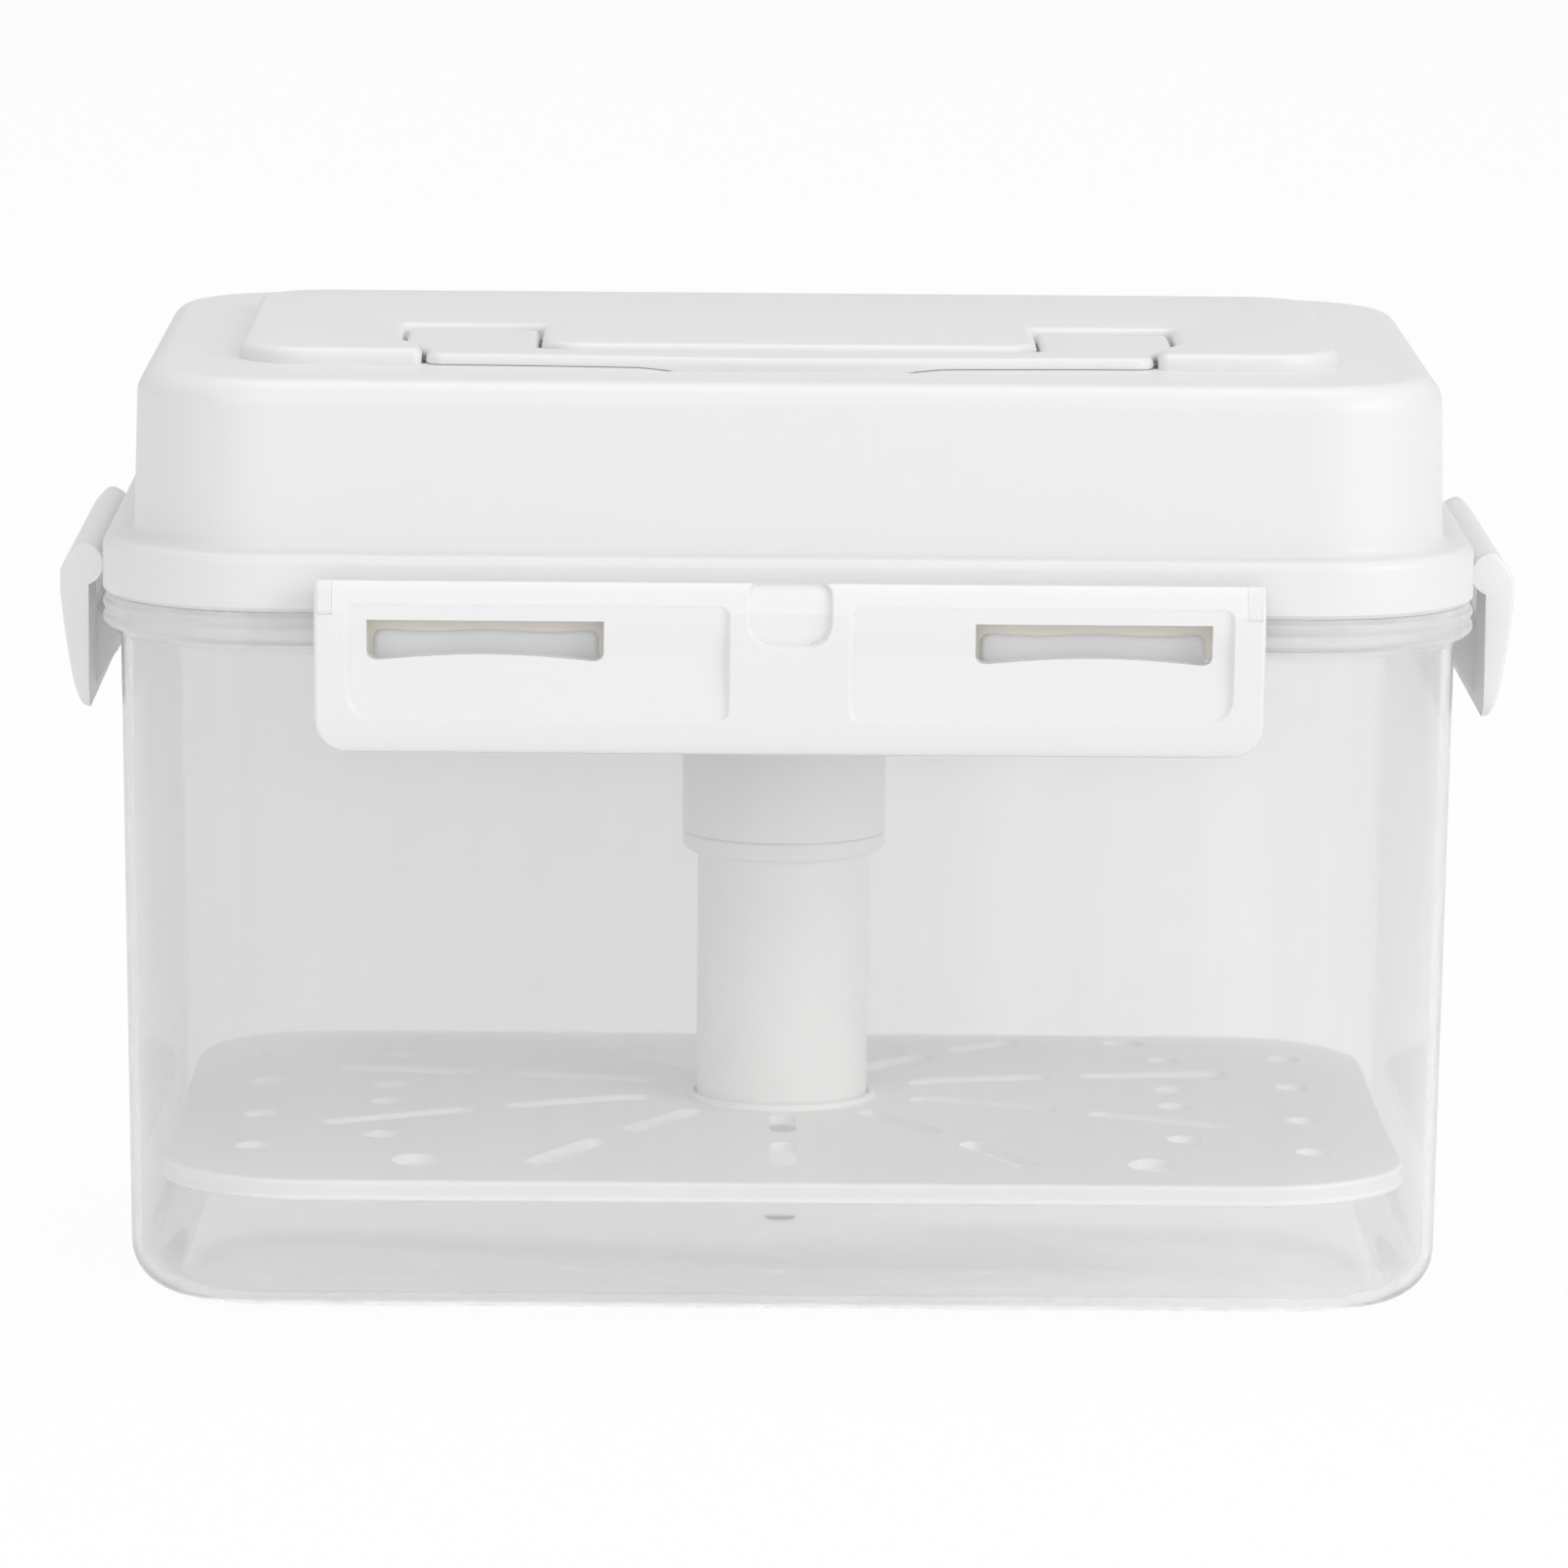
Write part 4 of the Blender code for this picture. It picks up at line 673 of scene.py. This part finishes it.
def make_cover_panel():
    """Outline: right half from the opening's inner edge round to the back, then the left half."""
    radius = PANEL_RADIUS
    outer = np.concatenate((bend((PANEL_HALF_X - radius, radius - PANEL_HALF_Y), radius, 270, 360, 14),
                            bend((PANEL_HALF_X - radius, PANEL_HALF_Y - radius), radius, 0, 90, 14)))
    soft, tip = MOUTH_RADIUS, TONGUE_RADIUS
    narrow = WELL_HALF_X - MOUTH_NARROWING
    opening = np.concatenate((bend((narrow + soft, soft - PANEL_HALF_Y), soft, 270, 180, 6),
                              taper(WELL_HALF_X, MOUTH_NARROWING, -0.0335, -0.0525)[::-1],
                              bend((WELL_HALF_X - soft, WELL_BACK - soft), soft, 0, 90, 8),
                              [(TONGUE_HALF + 0.0012, WELL_BACK), (TONGUE_HALF, WELL_BACK - 0.0012)],
                              bend((TONGUE_HALF - tip, TONGUE_TIP + tip), tip, 0, -90, 12)))
    outline = mirrored(np.concatenate((opening[::-1], outer)))
    edge = bend((PANEL_EDGE, PANEL_TOP - PANEL_EDGE), PANEL_EDGE, 180, 90, 9)
    rings = outline_rings(outline, np.concatenate(([(0.0, PANEL_BOTTOM)], edge)))
    return shell("cover_panel", rings, lid_white, "lid", ["top_panel"])


cover_panel = make_cover_panel()
print("cover_panel faces", len(cover_panel.data.polygons))

# %% [markdown]
# ## The carrying handle
# A flat U that lies in its well. Its arms narrow in a soft S towards the grip. The grip's front face
# swells forward, and in its middle a lip hangs into the scoop of the roof, for the fingers.

# %% The carrying handle
HANDLE_HALF, HANDLE_ARM, HANDLE_BACK = 0.0807, 0.0280, -0.0125
GRIP_BACK, GRIP_FRONT, GRIP_SWELL = -0.0473, -0.0600, 0.0042
PIVOT_Y, PIVOT_Z, EYE_RADIUS = -0.0165, 0.1913, 0.0028
HANDLE_TOP, HANDLE_BOTTOM, GRIP_EDGE = 0.1967, 0.1917, 0.0016
ARM_NARROWING, ARM_END_RADIUS, GRIP_CORNER = 0.0050, 0.0018, 0.0040


def handle_outline(front, swell):
    """A U open to the back. Its front line is front − swell × a cosine hump in the middle."""
    inner = HANDLE_HALF - HANDLE_ARM
    corner, soft = GRIP_CORNER, ARM_END_RADIUS
    arm = taper(HANDLE_HALF, ARM_NARROWING, -0.0325, -0.0511)
    end = arm[-1, 0] - corner
    right = np.concatenate((bend((inner - corner, GRIP_BACK + corner), corner, -90, 0, 6),
                            bend((inner + soft, HANDLE_BACK - soft), soft, 180, 90, 5),
                            bend((HANDLE_HALF - soft, HANDLE_BACK - soft), soft, 90, 0, 5),
                            arm, bend((end, front + corner), corner, 0, -90, 8)))
    x = np.linspace(end, 0, 34)[1:]
    hump = (np.cos(np.pi * x / end) + 1) / 2
    grip = np.column_stack((x, front - swell * hump))
    return mirrored(np.concatenate((right, grip)), shared=1)[::-1]


def make_carry_grip():
    """Rings from the underside up. Those above the well's edge swell forward, and the lip is drawn down
    from their front by its share of the lip's drop."""
    inner_front = WELL_FRONT + 0.0012
    in_well = [(0.0006, HANDLE_BOTTOM), (0.0, HANDLE_BOTTOM + 0.0006), (0.0, 0.19433)]
    edge = bend((GRIP_EDGE, HANDLE_TOP - GRIP_EDGE), GRIP_EDGE, 180, 90, 8)
    above = np.concatenate(([(0.0004, 0.19435), (0.0001, 0.1945), (0.0, 0.1948)], edge))
    rings = np.concatenate((outline_rings(handle_outline(inner_front, 0.0), in_well),
                            outline_rings(handle_outline(GRIP_FRONT, GRIP_SWELL), above)))
    ahead = np.clip((-0.0500 - rings[2:6, :, 1]) / 0.004, 0, 1)
    rings[2:6, :, 2] -= LIP_DROP * lip_share(rings[2:6, :, 0]) * ahead
    return shell("carry_grip", rings, lid_white, "handle", ["carry_handle"])


def make_eyes():
    """A round eye under each arm for the pivot pin, with a cheek that joins it to the arm."""
    parts = []
    for low, high in ((-HANDLE_HALF, HANDLE_ARM - HANDLE_HALF), (HANDLE_HALF - HANDLE_ARM, HANDLE_HALF)):
        parts.append(rod("eye", EYE_RADIUS, low, high, PIVOT_Y, PIVOT_Z))
        parts.append(block("cheek", (low, PIVOT_Y - EYE_RADIUS, PIVOT_Z),
                           (high, PIVOT_Y + EYE_RADIUS, HANDLE_TOP - 0.0020), 0.0001))
    return parts


carry_grip = make_carry_grip()
carve(carry_grip, make_eyes(), "UNION")
dress(carry_grip, lid_white, "handle")
print("carry_grip faces", len(carry_grip.data.polygons))

# %% [markdown]
# ## The clasps
# Each clasp is a flap on a hinge. Its outer face has one or two sunk fields, a slot in each that a lug
# on the box shows through, and a notch in the middle for the thumb. Such a relief is best worked out
# as a sheet of heights: the face's distance from the hinge line is a sum of soft steps along the
# distance to each field's edge. The grid's lines crowd together where the relief is steep.

# %% The clasps' relief
CLASP_DROP, CLASP_INNER, CLASP_LEAN = 0.0310, 0.0015, 0.0056
CLASP_CORNER, BLADE_TOP, END_ROUND = 0.0070, 0.0060, 0.0009
SLOT_HALF, SLOT_TOP, SLOT_LOW, SLOT_ARCH = 0.02415, -0.0031, -0.0117, 0.0015
FIELD_TOP, FIELD_LOW, FIELD_SLOPE = -0.0002, -0.0231, 0.0008
FIELD_ROUND, FIELD_FOOT_ROUND = 0.0016, 0.0050
FLOOR_OUT, FLOOR_LEAN, FLOOR_RISE, FLOOR_BEND = 0.0023, 0.0008, 0.0013, -0.0115
NOTCH_HALF, NOTCH_TOP, NOTCH_LOW, NOTCH_DEPTH = 0.0081, 0.0040, -0.0077, 0.0016
EAR_SLOT_LOW, EAR_ROOM, EAR_ROOM_LOW = -0.0020, 0.00478, -0.0048
LUG_HALF_X = 0.0232


def soft_step(distance, width):
    """0 where distance is below −width, 1 above 0, and a smooth S between."""
    share = np.clip(distance / width + 1, 0, 1)
    return share * share * (3 - 2 * share)


def inside_field(x, z, low, high, radius, width):
    """1 inside a rounded field, 0 outside, from the signed distance to its rounded outline. The lower
    corners away from the clasp's middle take a larger radius."""
    centre = (np.asarray(low) + np.asarray(high)) / 2
    half = (np.asarray(high) - np.asarray(low)) / 2
    foot = (z < centre[1]) & ((x - centre[0]) * np.sign(np.round(centre[0], 5)) >= 0)
    radius = np.where(foot, FIELD_FOOT_ROUND, radius)
    dx = np.abs(x - centre[0]) - half[0] + radius
    dz = np.abs(z - centre[1]) - half[1] + radius
    outside = np.hypot(np.maximum(dx, 0), np.maximum(dz, 0)) + np.minimum(np.maximum(dx, dz), 0) - radius
    return soft_step(-outside, width)


def crowded(low, high, stops, coarse):
    """Grid lines from low to high: every stop, a crowd of lines beside it, and coarse ones between."""
    beside = np.array([0.0002, 0.0004, 0.0006, 0.0009, 0.0012, 0.0018, 0.0026])
    stops = np.asarray(stops, dtype=float)
    near = (stops[:, None] + np.concatenate((-beside, beside))[None]).ravel()
    even = np.linspace(low, high, max(2, round((high - low) / coarse) + 1))
    lines = np.sort(np.concatenate((near, even[1:-1])))
    fixed = np.concatenate((stops, [low, high]))
    lines = lines[(np.abs(lines[:, None] - fixed[None]).min(axis=1) > 0.00012)
                  & (lines > low) & (lines < high)]
    lines = lines[np.concatenate(([True], np.diff(lines) > 0.0001))]
    return np.sort(np.concatenate((lines, np.unique(fixed))))


def clasp_section(z):
    """Distance of the plain outer face from the hinge line: a sloping roof over the hinge, and below it
    a blade, whose share s of the drop takes away lean × (1 − √(1 − s))."""
    share = np.clip((-z - BLADE_TOP) / (CLASP_DROP - BLADE_TOP), 0, 1)
    tip = BARREL - CLASP_LEAN * (1 - np.sqrt(1 - share))
    return np.where(z > ROOF_LOW, roof(z), tip)


# %% Build one clasp


def clasp_relief(x, z, fields, notch, half):
    """The outer face: the plain section less the fields, whose floor lies deeper towards their foot,
    and less a round edge at both ends."""
    out = clasp_section(z)
    floor = FLOOR_OUT - FLOOR_LEAN * np.clip((FLOOR_BEND - z) / 0.0116, 0, 1)
    floor = floor + FLOOR_RISE * soft_step(z - SLOT_TOP, 0.0084)
    for low, high in fields:
        sunk = inside_field(x, z, (low, FIELD_LOW), (high, FIELD_TOP), FIELD_ROUND, FIELD_SLOPE)
        out = out - sunk * np.maximum(out - floor, 0)
    if notch:
        out = out - NOTCH_DEPTH * inside_field(x, z, (-NOTCH_HALF, NOTCH_LOW), (NOTCH_HALF, NOTCH_TOP),
                                               FIELD_ROUND, 0.0007)
    edge = np.clip(1 - (half - np.abs(x)) / END_ROUND, 0, 1)
    return out - END_ROUND * (1 - np.sqrt(1 - edge ** 2))


def make_clasp(name, side, fields, slots, notch):
    """A sheet for the face, a sheet for the back, and walls round their shared edges and slots."""
    half = CLASP_SIDES[side][1]
    stops_x = [value for field in fields for value in field]
    slot_ends = [centre + end * SLOT_HALF for centre in slots for end in (-1, 1)]
    stops_x += slot_ends + ([-NOTCH_HALF, NOTCH_HALF] if notch else [])
    ear_out, ear_in = half - EAR_COVER, half - EAR_COVER - EAR_WIDTH - 2 * EAR_GAP
    x = crowded(-half, half, stops_x + [-ear_out, -ear_in, ear_in, ear_out], 0.0022)
    stops_z = [SLOT_TOP, SLOT_LOW, FIELD_LOW, FIELD_TOP, ROOF_LOW, EAR_SLOT_LOW, EAR_ROOM_LOW,
               NOTCH_LOW, -0.0301, 0.0042]
    z = crowded(-CLASP_DROP, BARREL, stops_z, 0.0016)[::-1]
    grid_x, grid_z = np.meshgrid(x, z)
    keep = np.ones((len(z) - 1, len(x) - 1), dtype=bool)
    mid_x, mid_z = (x[1:] + x[:-1]) / 2, (z[1:] + z[:-1]) / 2
    ear_slot = ((np.abs(mid_x) > ear_in) & (np.abs(mid_x) < ear_out))[None, :]
    keep &= ~(ear_slot & (mid_z > EAR_SLOT_LOW)[:, None])
    arch = np.zeros_like(grid_x)
    for centre in slots:
        hole = ((np.abs(mid_x - centre) < SLOT_HALF)[None, :]
                & ((mid_z < SLOT_TOP) & (mid_z > SLOT_LOW))[:, None])
        keep &= ~hole
        across = np.abs(grid_x - centre) / SLOT_HALF
        near = np.clip(1 - np.abs(grid_z - SLOT_LOW) / 0.006, 0, 1)
        end = np.clip((across - 0.90) / 0.10, 0, 1) * (across < 1.001)
        arch += (SLOT_ARCH * np.cos(np.clip(across, 0, 1) * np.pi / 2)
                 + 0.0019 * (1 - np.sqrt(1 - end ** 2))) * near
    grid_z = grid_z + arch
    low = -CLASP_DROP + CLASP_CORNER
    below = np.clip((low - grid_z) / CLASP_CORNER, 0, 1)
    narrow = half - CLASP_CORNER * (1 - np.sqrt(1 - (below * 0.995) ** 2))
    grid_x = grid_x * narrow / half
    out = clasp_relief(grid_x, grid_z, fields, notch, narrow)
    back = np.full_like(out, CLASP_INNER)
    back = np.where(grid_z > -BARREL, np.sqrt(np.clip(BARREL ** 2 - grid_z ** 2, 0, None)), back)
    back = np.where(grid_z < 0, np.maximum(back, CLASP_INNER), back)
    back = np.minimum(back, np.where(grid_z < -CLASP_DROP * 0.9, CLASP_INNER, back))
    near_ear = (np.abs(grid_x) > ear_in - 0.00005) & (np.abs(grid_x) < ear_out + 0.00005)
    room = -np.sqrt(np.clip(EAR_ROOM ** 2 - grid_z ** 2, 0, None))
    back = np.where(near_ear & (grid_z > EAR_ROOM_LOW), room, back)
    face = np.stack((grid_x, -out, grid_z), axis=-1)
    rear = np.stack((grid_x, np.maximum(back, -out + 0.0002), grid_z), axis=-1)
    return clasp_mesh(name, side, face, rear, keep, slots)


def clasp_mesh(name, side, face, rear, keep, slots):
    """Faces of both sheets where keep is true, and a wall wherever keep changes."""
    rows, columns = face.shape[:2]
    count = rows * columns
    quads = grid_faces(rows, columns)[keep.ravel()]
    faces = [quads[:, ::-1], quads + count]
    number = np.arange(count).reshape(rows, columns)
    padded = np.pad(keep, 1)
    for axis in (0, 1):
        before = padded[:-1, 1:-1] if axis == 0 else padded[1:-1, :-1]
        after = padded[1:, 1:-1] if axis == 0 else padded[1:-1, 1:]
        first = number[:, :-1] if axis == 0 else number[:-1, :]
        second = number[:, 1:] if axis == 0 else number[1:, :]
        for change, flip in ((after & ~before, axis == 1), (before & ~after, axis == 0)):
            a, b = first[change], second[change]
            wall = np.stack((a, b, b + count, a + count), axis=1)
            faces.append(wall[:, ::-1] if flip else wall)
    faces = np.concatenate(faces)
    points = np.concatenate((face.reshape(-1, 3), rear.reshape(-1, 3)))
    degrees, _, reach = CLASP_SIDES[side]
    piece = mesh_piece(name, points, faces.ravel(), np.full(len(faces), 4), clasp_white,
                       side + "_latch", [side + "_latch"])
    hooks = [make_hook(centre) for centre in slots]
    join_into(piece, hooks)
    piece.data.transform(Matrix.Translation((0, -reach, HINGE_HEIGHT)))
    turn_about_z(piece, degrees)
    return dress(piece, clasp_white)


def make_hook(centre):
    """The ridge behind a slot: a wedge whose rounded crest catches under the lug."""
    crest = bend((0.0064, -0.0194), 0.0009, 60, -60, 6)
    outline = np.concatenate(([(0.0007, -0.0115)], crest, [(0.0008, -0.0298)]))
    return bar_along_x("hook", outline, centre - LUG_HALF_X, centre + LUG_HALF_X)


def join_into(piece, others):
    """Add the meshes of other pieces to a piece, and drop them."""
    work = bmesh.new()
    for part in [piece] + others:
        work.from_mesh(part.data)
    work.to_mesh(piece.data)
    work.free()
    for part in others:
        bpy.data.objects.remove(part, do_unlink=True)
    return piece


SLOT_PLACE = 0.0620
pair = [(-0.0898, -0.0130), (0.0130, 0.0898)]
single = [(-0.0384, 0.0384)]
for side_name in CLASP_SIDES:
    long_side = side_name in ("front", "rear")
    clasp = make_clasp(side_name + "_clasp", side_name, pair if long_side else single,
                       (-SLOT_PLACE, SLOT_PLACE) if long_side else (0.0,), long_side)
    print(clasp.name, "faces", len(clasp.data.polygons))

# %% [markdown]
# ## The lugs
# Six bars of the clear moulding stand out of the wall under the rim, where the clasps' hooks catch.
# Through the slots they look pale grey and blurred: they are thick, and their faces are matt. Behind
# each lug, a thin beige sheet on the wall is painted shade: the warm shadow seen through the slot around
# the lug.

# %% The lugs
lug_clear = moulded("lug_frost", (0.86, 0.865, 0.865), (0.82, 0.825, 0.825), 0.38, light_through=0.2)
# Painted shade: the beige of the thin sheet behind each lug stands for the warm shadow in the slots.
pad_clear = moulded("slot_painted_shade", (0.92, 0.88, 0.80), (0.90, 0.86, 0.78), 0.45)
LUG_HALF_Z, LUG_HEIGHT, LUG_ROUND = 0.0036, 0.1408, 0.0022
LUG_WAVE, LUG_WAVE_LENGTH = 0.00022, 0.024
PAD_HALF_X, PAD_HALF_Z, PAD_HEIGHT, PAD_ROUND = 0.0252, 0.0040, 0.1431, 0.0010


def stand_out(flat, place, reach, height):
    """Turn rings that lie flat so that they stand out of the front wall."""
    standing = (flat[..., 0] + place, -flat[..., 2] - reach, flat[..., 1] + height)
    return np.stack(standing, axis=-1)[:, ::-1]


def make_lug(name, degrees, place, reach):
    """A rounded bar: rings of rounded rectangles stand out of the wall, each a little smaller. Its upper
    edge waves by a cosine along X. Behind it, a thin beige sheet on the wall is painted shade, for the
    warm shadow seen through the slot."""
    levels = [(0.0, -0.0046), (0.0, 0.0002), (0.0003, 0.0008), (0.0008, 0.0011), (0.0014, 0.0012)]
    rings = plan_rings(levels, LUG_HALF_X, LUG_HALF_Z, LUG_ROUND, 6, 24)
    wave = LUG_WAVE * np.cos(rings[..., 0] * 2 * np.pi / LUG_WAVE_LENGTH)
    rings[..., 1] += np.where(rings[..., 1] > 1e-9, wave, 0)
    bar = stand_out(rings, place, reach, LUG_HEIGHT)
    piece = turn_about_z(shell(name, bar, lug_clear, "container"), degrees)
    # Painted shade: a thin beige sheet on the wall behind the lug.
    levels = [(0.0, -0.0041), (0.0, 0.0003), (0.0002, 0.0005)]
    flat = plan_rings(levels, PAD_HALF_X, PAD_HALF_Z, PAD_ROUND, 6, 3)
    pad = stand_out(flat, place, reach, PAD_HEIGHT)
    turn_about_z(shell(name + "_pad", pad, pad_clear, "container"), degrees)
    return piece


LUG_PLACES = (("front", -SLOT_PLACE), ("front", SLOT_PLACE), ("right", 0.0), ("rear", -SLOT_PLACE),
              ("rear", SLOT_PLACE), ("left", 0.0))
for number, (side_name, place) in enumerate(LUG_PLACES, start=1):
    degrees, _, reach = CLASP_SIDES[side_name]
    make_lug("clear_lug_" + str(number), degrees, place, reach - HINGE_OUT)
print("six lugs made")

# %% [markdown]
# ## The press
# Sleeve, bush, tube and stop ring are turned shapes: a profile of radius and height, carried round the
# upright axis. Every outer edge has a small round, so that it takes a line of light.

# %% Sleeve, bush, tube and stop ring
PRESS_STEPS = 112
SLEEVE, BORE, TUBE = 0.0218, 0.0202, 0.0184


def turned_piece(name, profile, body, nodes, material=None, closed=True):
    """A turned piece from its profile, in the press's white plastic unless told otherwise."""
    rings = turned_rings(profile, PRESS_STEPS)
    return shell(name, rings, material or press_white, body, nodes, closed=closed)


sleeve_profile = np.concatenate((
    [(BORE, 0.0884), (BORE + 0.0003, 0.0881), (SLEEVE - 0.0001, 0.0881), (SLEEVE, 0.0882),
     (SLEEVE, 0.1790)],
    bend((SLEEVE + 0.0030, 0.1790), 0.0030, 180, 90, 8),
    [(0.0366, 0.1820), (0.0370, 0.1824), (0.0370, 0.1841), (0.0366, 0.1845), (0.0243, 0.1845),
     (0.0243, 0.1825), (BORE, 0.1825)]))
turned_piece("sleeve_body", sleeve_profile, "lid", ["press_sleeve"])
bush_profile = np.concatenate((
    [(TUBE + 0.0003, 0.0843), (TUBE + 0.0006, 0.0840)],
    bend((SLEEVE - 0.0016, 0.0856), 0.0016, 270, 360, 6),
    [(SLEEVE, 0.0879), (SLEEVE - 0.0001, 0.0880), (BORE - 0.0003, 0.0880), (BORE - 0.0003, 0.1040),
     (TUBE + 0.0003, 0.1040)]))
turned_piece("guide_bush", bush_profile, "lid", ["sleeve_bush"])
tube_profile = np.concatenate((
    [(0.0077, 0.0216), (0.0077, 0.0301), (TUBE - 0.0003, 0.0301), (TUBE, 0.0304), (TUBE, 0.1040),
     (TUBE - 0.0008, 0.1040), (TUBE - 0.0008, 0.1088), (TUBE - 0.0010, 0.1090), (TUBE - 0.0016, 0.1090),
     (TUBE - 0.0018, 0.1088), (TUBE - 0.0018, 0.0341)],
    bend((TUBE - 0.0028, 0.0341), 0.0010, 0, -90, 4)))
turned_piece("slide_tube", tube_profile, "press", ["press_tube"], closed=False)
collar = [(0.0179, 0.1046), (0.0182, 0.1043), (0.0196, 0.1043), (0.0199, 0.1046), (0.0199, 0.1087),
          (0.0196, 0.1090), (0.0182, 0.1090), (0.0179, 0.1087)]
turned_piece("stop_collar", collar, "press", ["tube_stop_ring"])
print("press tubes made")

# %% [markdown]
# ## The spring
# A helix of steel wire between the tube's floor and the cap. It can't follow the sliding joint as a
# stiff piece, and here it stays still on the lid.

# %% The spring
SPRING_FOOT, SPRING_SEAT, SPRING_ROOM = 0.0331, 0.1828, 0.0011


def make_coil():
    """Centre line: radius × (cos t, sin t) with height rising evenly. The wire's rings lie across it."""
    radius, wire, turns = 0.0135, 0.0008, 12
    low, high = SPRING_FOOT + SPRING_ROOM, SPRING_SEAT - SPRING_ROOM
    t = np.linspace(0, 2 * np.pi * turns, turns * 28 + 1)[:, None]
    around = 2 * np.pi * np.arange(8)[None, :] / 8
    height = low + (high - low) * t / t[-1]
    reach = radius + wire * np.cos(around)
    rings = np.stack((reach * np.cos(t), reach * np.sin(t), height + wire * np.sin(around)), axis=-1)
    coil = shell("press_coil", rings[:, ::-1], steel, "lid", ["press_spring"])
    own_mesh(coil)
    return coil


press_coil = make_coil()
print("press_coil faces", len(press_coil.data.polygons))

# %% [markdown]
# ## The press plate
# The plate is crowned round the tube and falls to a short skirt. Ten spokes of slots and rows of round
# holes let the brine through. Its rings change from a circle at the hub to the rounded rectangle of
# the edge, and the openings are cut with one exact Boolean.

# %% The press plate
PLATE_HALF_X, PLATE_HALF_Y, PLATE_RADIUS = 0.1312, 0.0867, 0.0330
PLATE_EDGE_TOP, PLATE_CROWN, PLATE_WALL = 0.0274, 0.0036, 0.0022
HUB_RADIUS, HUB_TOP, SKIRT = 0.0235, 0.0298, 0.0229
SPOKES, SPOKE_START, SPOKE_WIDTH, HOLE = 10, 0.0290, 0.0058, 0.0038


def stadium(start, end, width, angle):
    """A slot's outline in plan: two half circles and the straights between, turned to its spoke."""
    half = width / 2
    flat = np.concatenate((bend((end - half, 0), half, -90, 90, 8),
                           bend((start + half, 0), half, 90, 270, 8)))
    turn = np.array([(np.cos(angle), np.sin(angle)), (-np.sin(angle), np.cos(angle))])
    return flat @ turn


def plate_cutters():
    """Every slot and hole as an upright bar."""
    outlines = []
    for angle in 2 * np.pi * (np.arange(SPOKES) + 0.5) / SPOKES:
        steep = abs(np.sin(angle))
        if steep > 0.99:
            spans = ((SPOKE_START, 0.0460), (0.0540, 0.0730))
        elif steep > 0.5:
            spans = ((SPOKE_START, 0.0560), (0.0650, 0.0900))
        else:
            spans = ((SPOKE_START, 0.0620), (0.0690, 0.1030))
        outlines += [stadium(start, end, SPOKE_WIDTH, angle) for start, end in spans]
    holes = [(0.0850, 0.0095, HOLE), (0.0850, 0.0460, HOLE), (0.1120, 0.0191, HOLE),
             (0.1120, 0.0538, HOLE), (0.0770, 0.0702, 0.0050)]
    for x, y, radius in holes:
        for side_x in (-1, 1):
            for side_y in (-1, 1):
                outlines.append(bend((side_x * x, side_y * y), radius, 0, 360, 24)[:-1])
    return outlines


def make_slotted_plate():
    """Upper rings from the edge in to the hub, then the lower ones from the hub out to the skirt."""
    step = 0.001
    edge, drawn_in = plan_rings([(0, 0), (step, 0)], PLATE_HALF_X, PLATE_HALF_Y, PLATE_RADIUS,
                                16, 30)[..., :2]
    unit = edge / np.linalg.norm(edge, axis=1, keepdims=True)
    inward = (edge - drawn_in) / step

    def ring(flat, height):
        return np.column_stack((flat, np.full(len(flat), height)))

    def drawn(levels):
        return [ring(edge - inward * inset, height) for inset, height in levels]

    def between(shares, heights):
        hub = unit * HUB_RADIUS
        return [ring(hub + (edge - inward * 0.0012 - hub) * share, height)
                for share, height in zip(shares, heights)]

    shares = np.concatenate((np.linspace(1, 0.1, 22), [0.05, 0.02, 0.0]))
    crown = (PLATE_EDGE_TOP + PLATE_CROWN * (1 - shares ** 1.5)
             - 0.0012 * np.clip(1 - shares / 0.08, 0, 1))
    rings = drawn(bend((0.0010, PLATE_EDGE_TOP - 0.0010), 0.0010, 180, 100, 5))
    rings += between(shares, crown)
    rings += [ring(unit * radius, height) for radius, height in
              ((0.0203, HUB_TOP), (0.0202, 0.0306), (0.0199, 0.0310), (0.0191, 0.0310), (0.0187, 0.0306),
               (0.0187, HUB_TOP), (0.0080, HUB_TOP), (0.0080, HUB_TOP - PLATE_WALL),
               (HUB_RADIUS, HUB_TOP - PLATE_WALL))]
    rings += between(shares[::-1][3:], crown[::-1][3:] - PLATE_WALL)
    rings += drawn([(PLATE_WALL, 0.0250), (PLATE_WALL, SKIRT), (0.0003, SKIRT), (0.0, SKIRT + 0.0003),
                    (0.0, SKIRT + 0.0006), (0.0002, SKIRT + 0.0009), (0.0006, SKIRT + 0.0011),
                    (0.0001, PLATE_EDGE_TOP - 0.0014)])
    plate = shell("slotted_plate", np.stack(rings), press_white, "press",
                  ["press_plate"], closed=True)
    cutters = []
    for outline in plate_cutters():
        bar = np.stack([np.column_stack((outline, np.full(len(outline), z))) for z in (0.02, 0.034)])
        cutters.append(shell("bar", bar))
    carve(plate, [join_into(cutters[0], cutters[1:])], "DIFFERENCE")
    return dress(plate, press_white)


slotted_plate = make_slotted_plate()
print("slotted_plate faces", len(slotted_plate.data.polygons))

# %% [markdown]
# ## Pieces kept from the frame
# Pins, screws, lock nut, spring cap and seal have the right shape already. They only get a finish.

# %% Finishes of the kept pieces
KEPT = {"lid_gasket": soft_seal, "plate_lock_nut": press_white, "spring_cap": press_white}
KEPT.update({"handle_pin_" + side_name: steel for side_name in ("left", "right")})
KEPT.update({side_name + "_latch_pin": steel for side_name in CLASP_SIDES})
KEPT.update({"sleeve_screw_" + str(number): steel for number in range(1, 5)})
for node, material in KEPT.items():
    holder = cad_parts[node]
    if not holder.material_slots:
        holder.data.materials.append(material)
    for spot in holder.material_slots:
        spot.material = material
print("kept pieces finished:", len(KEPT))
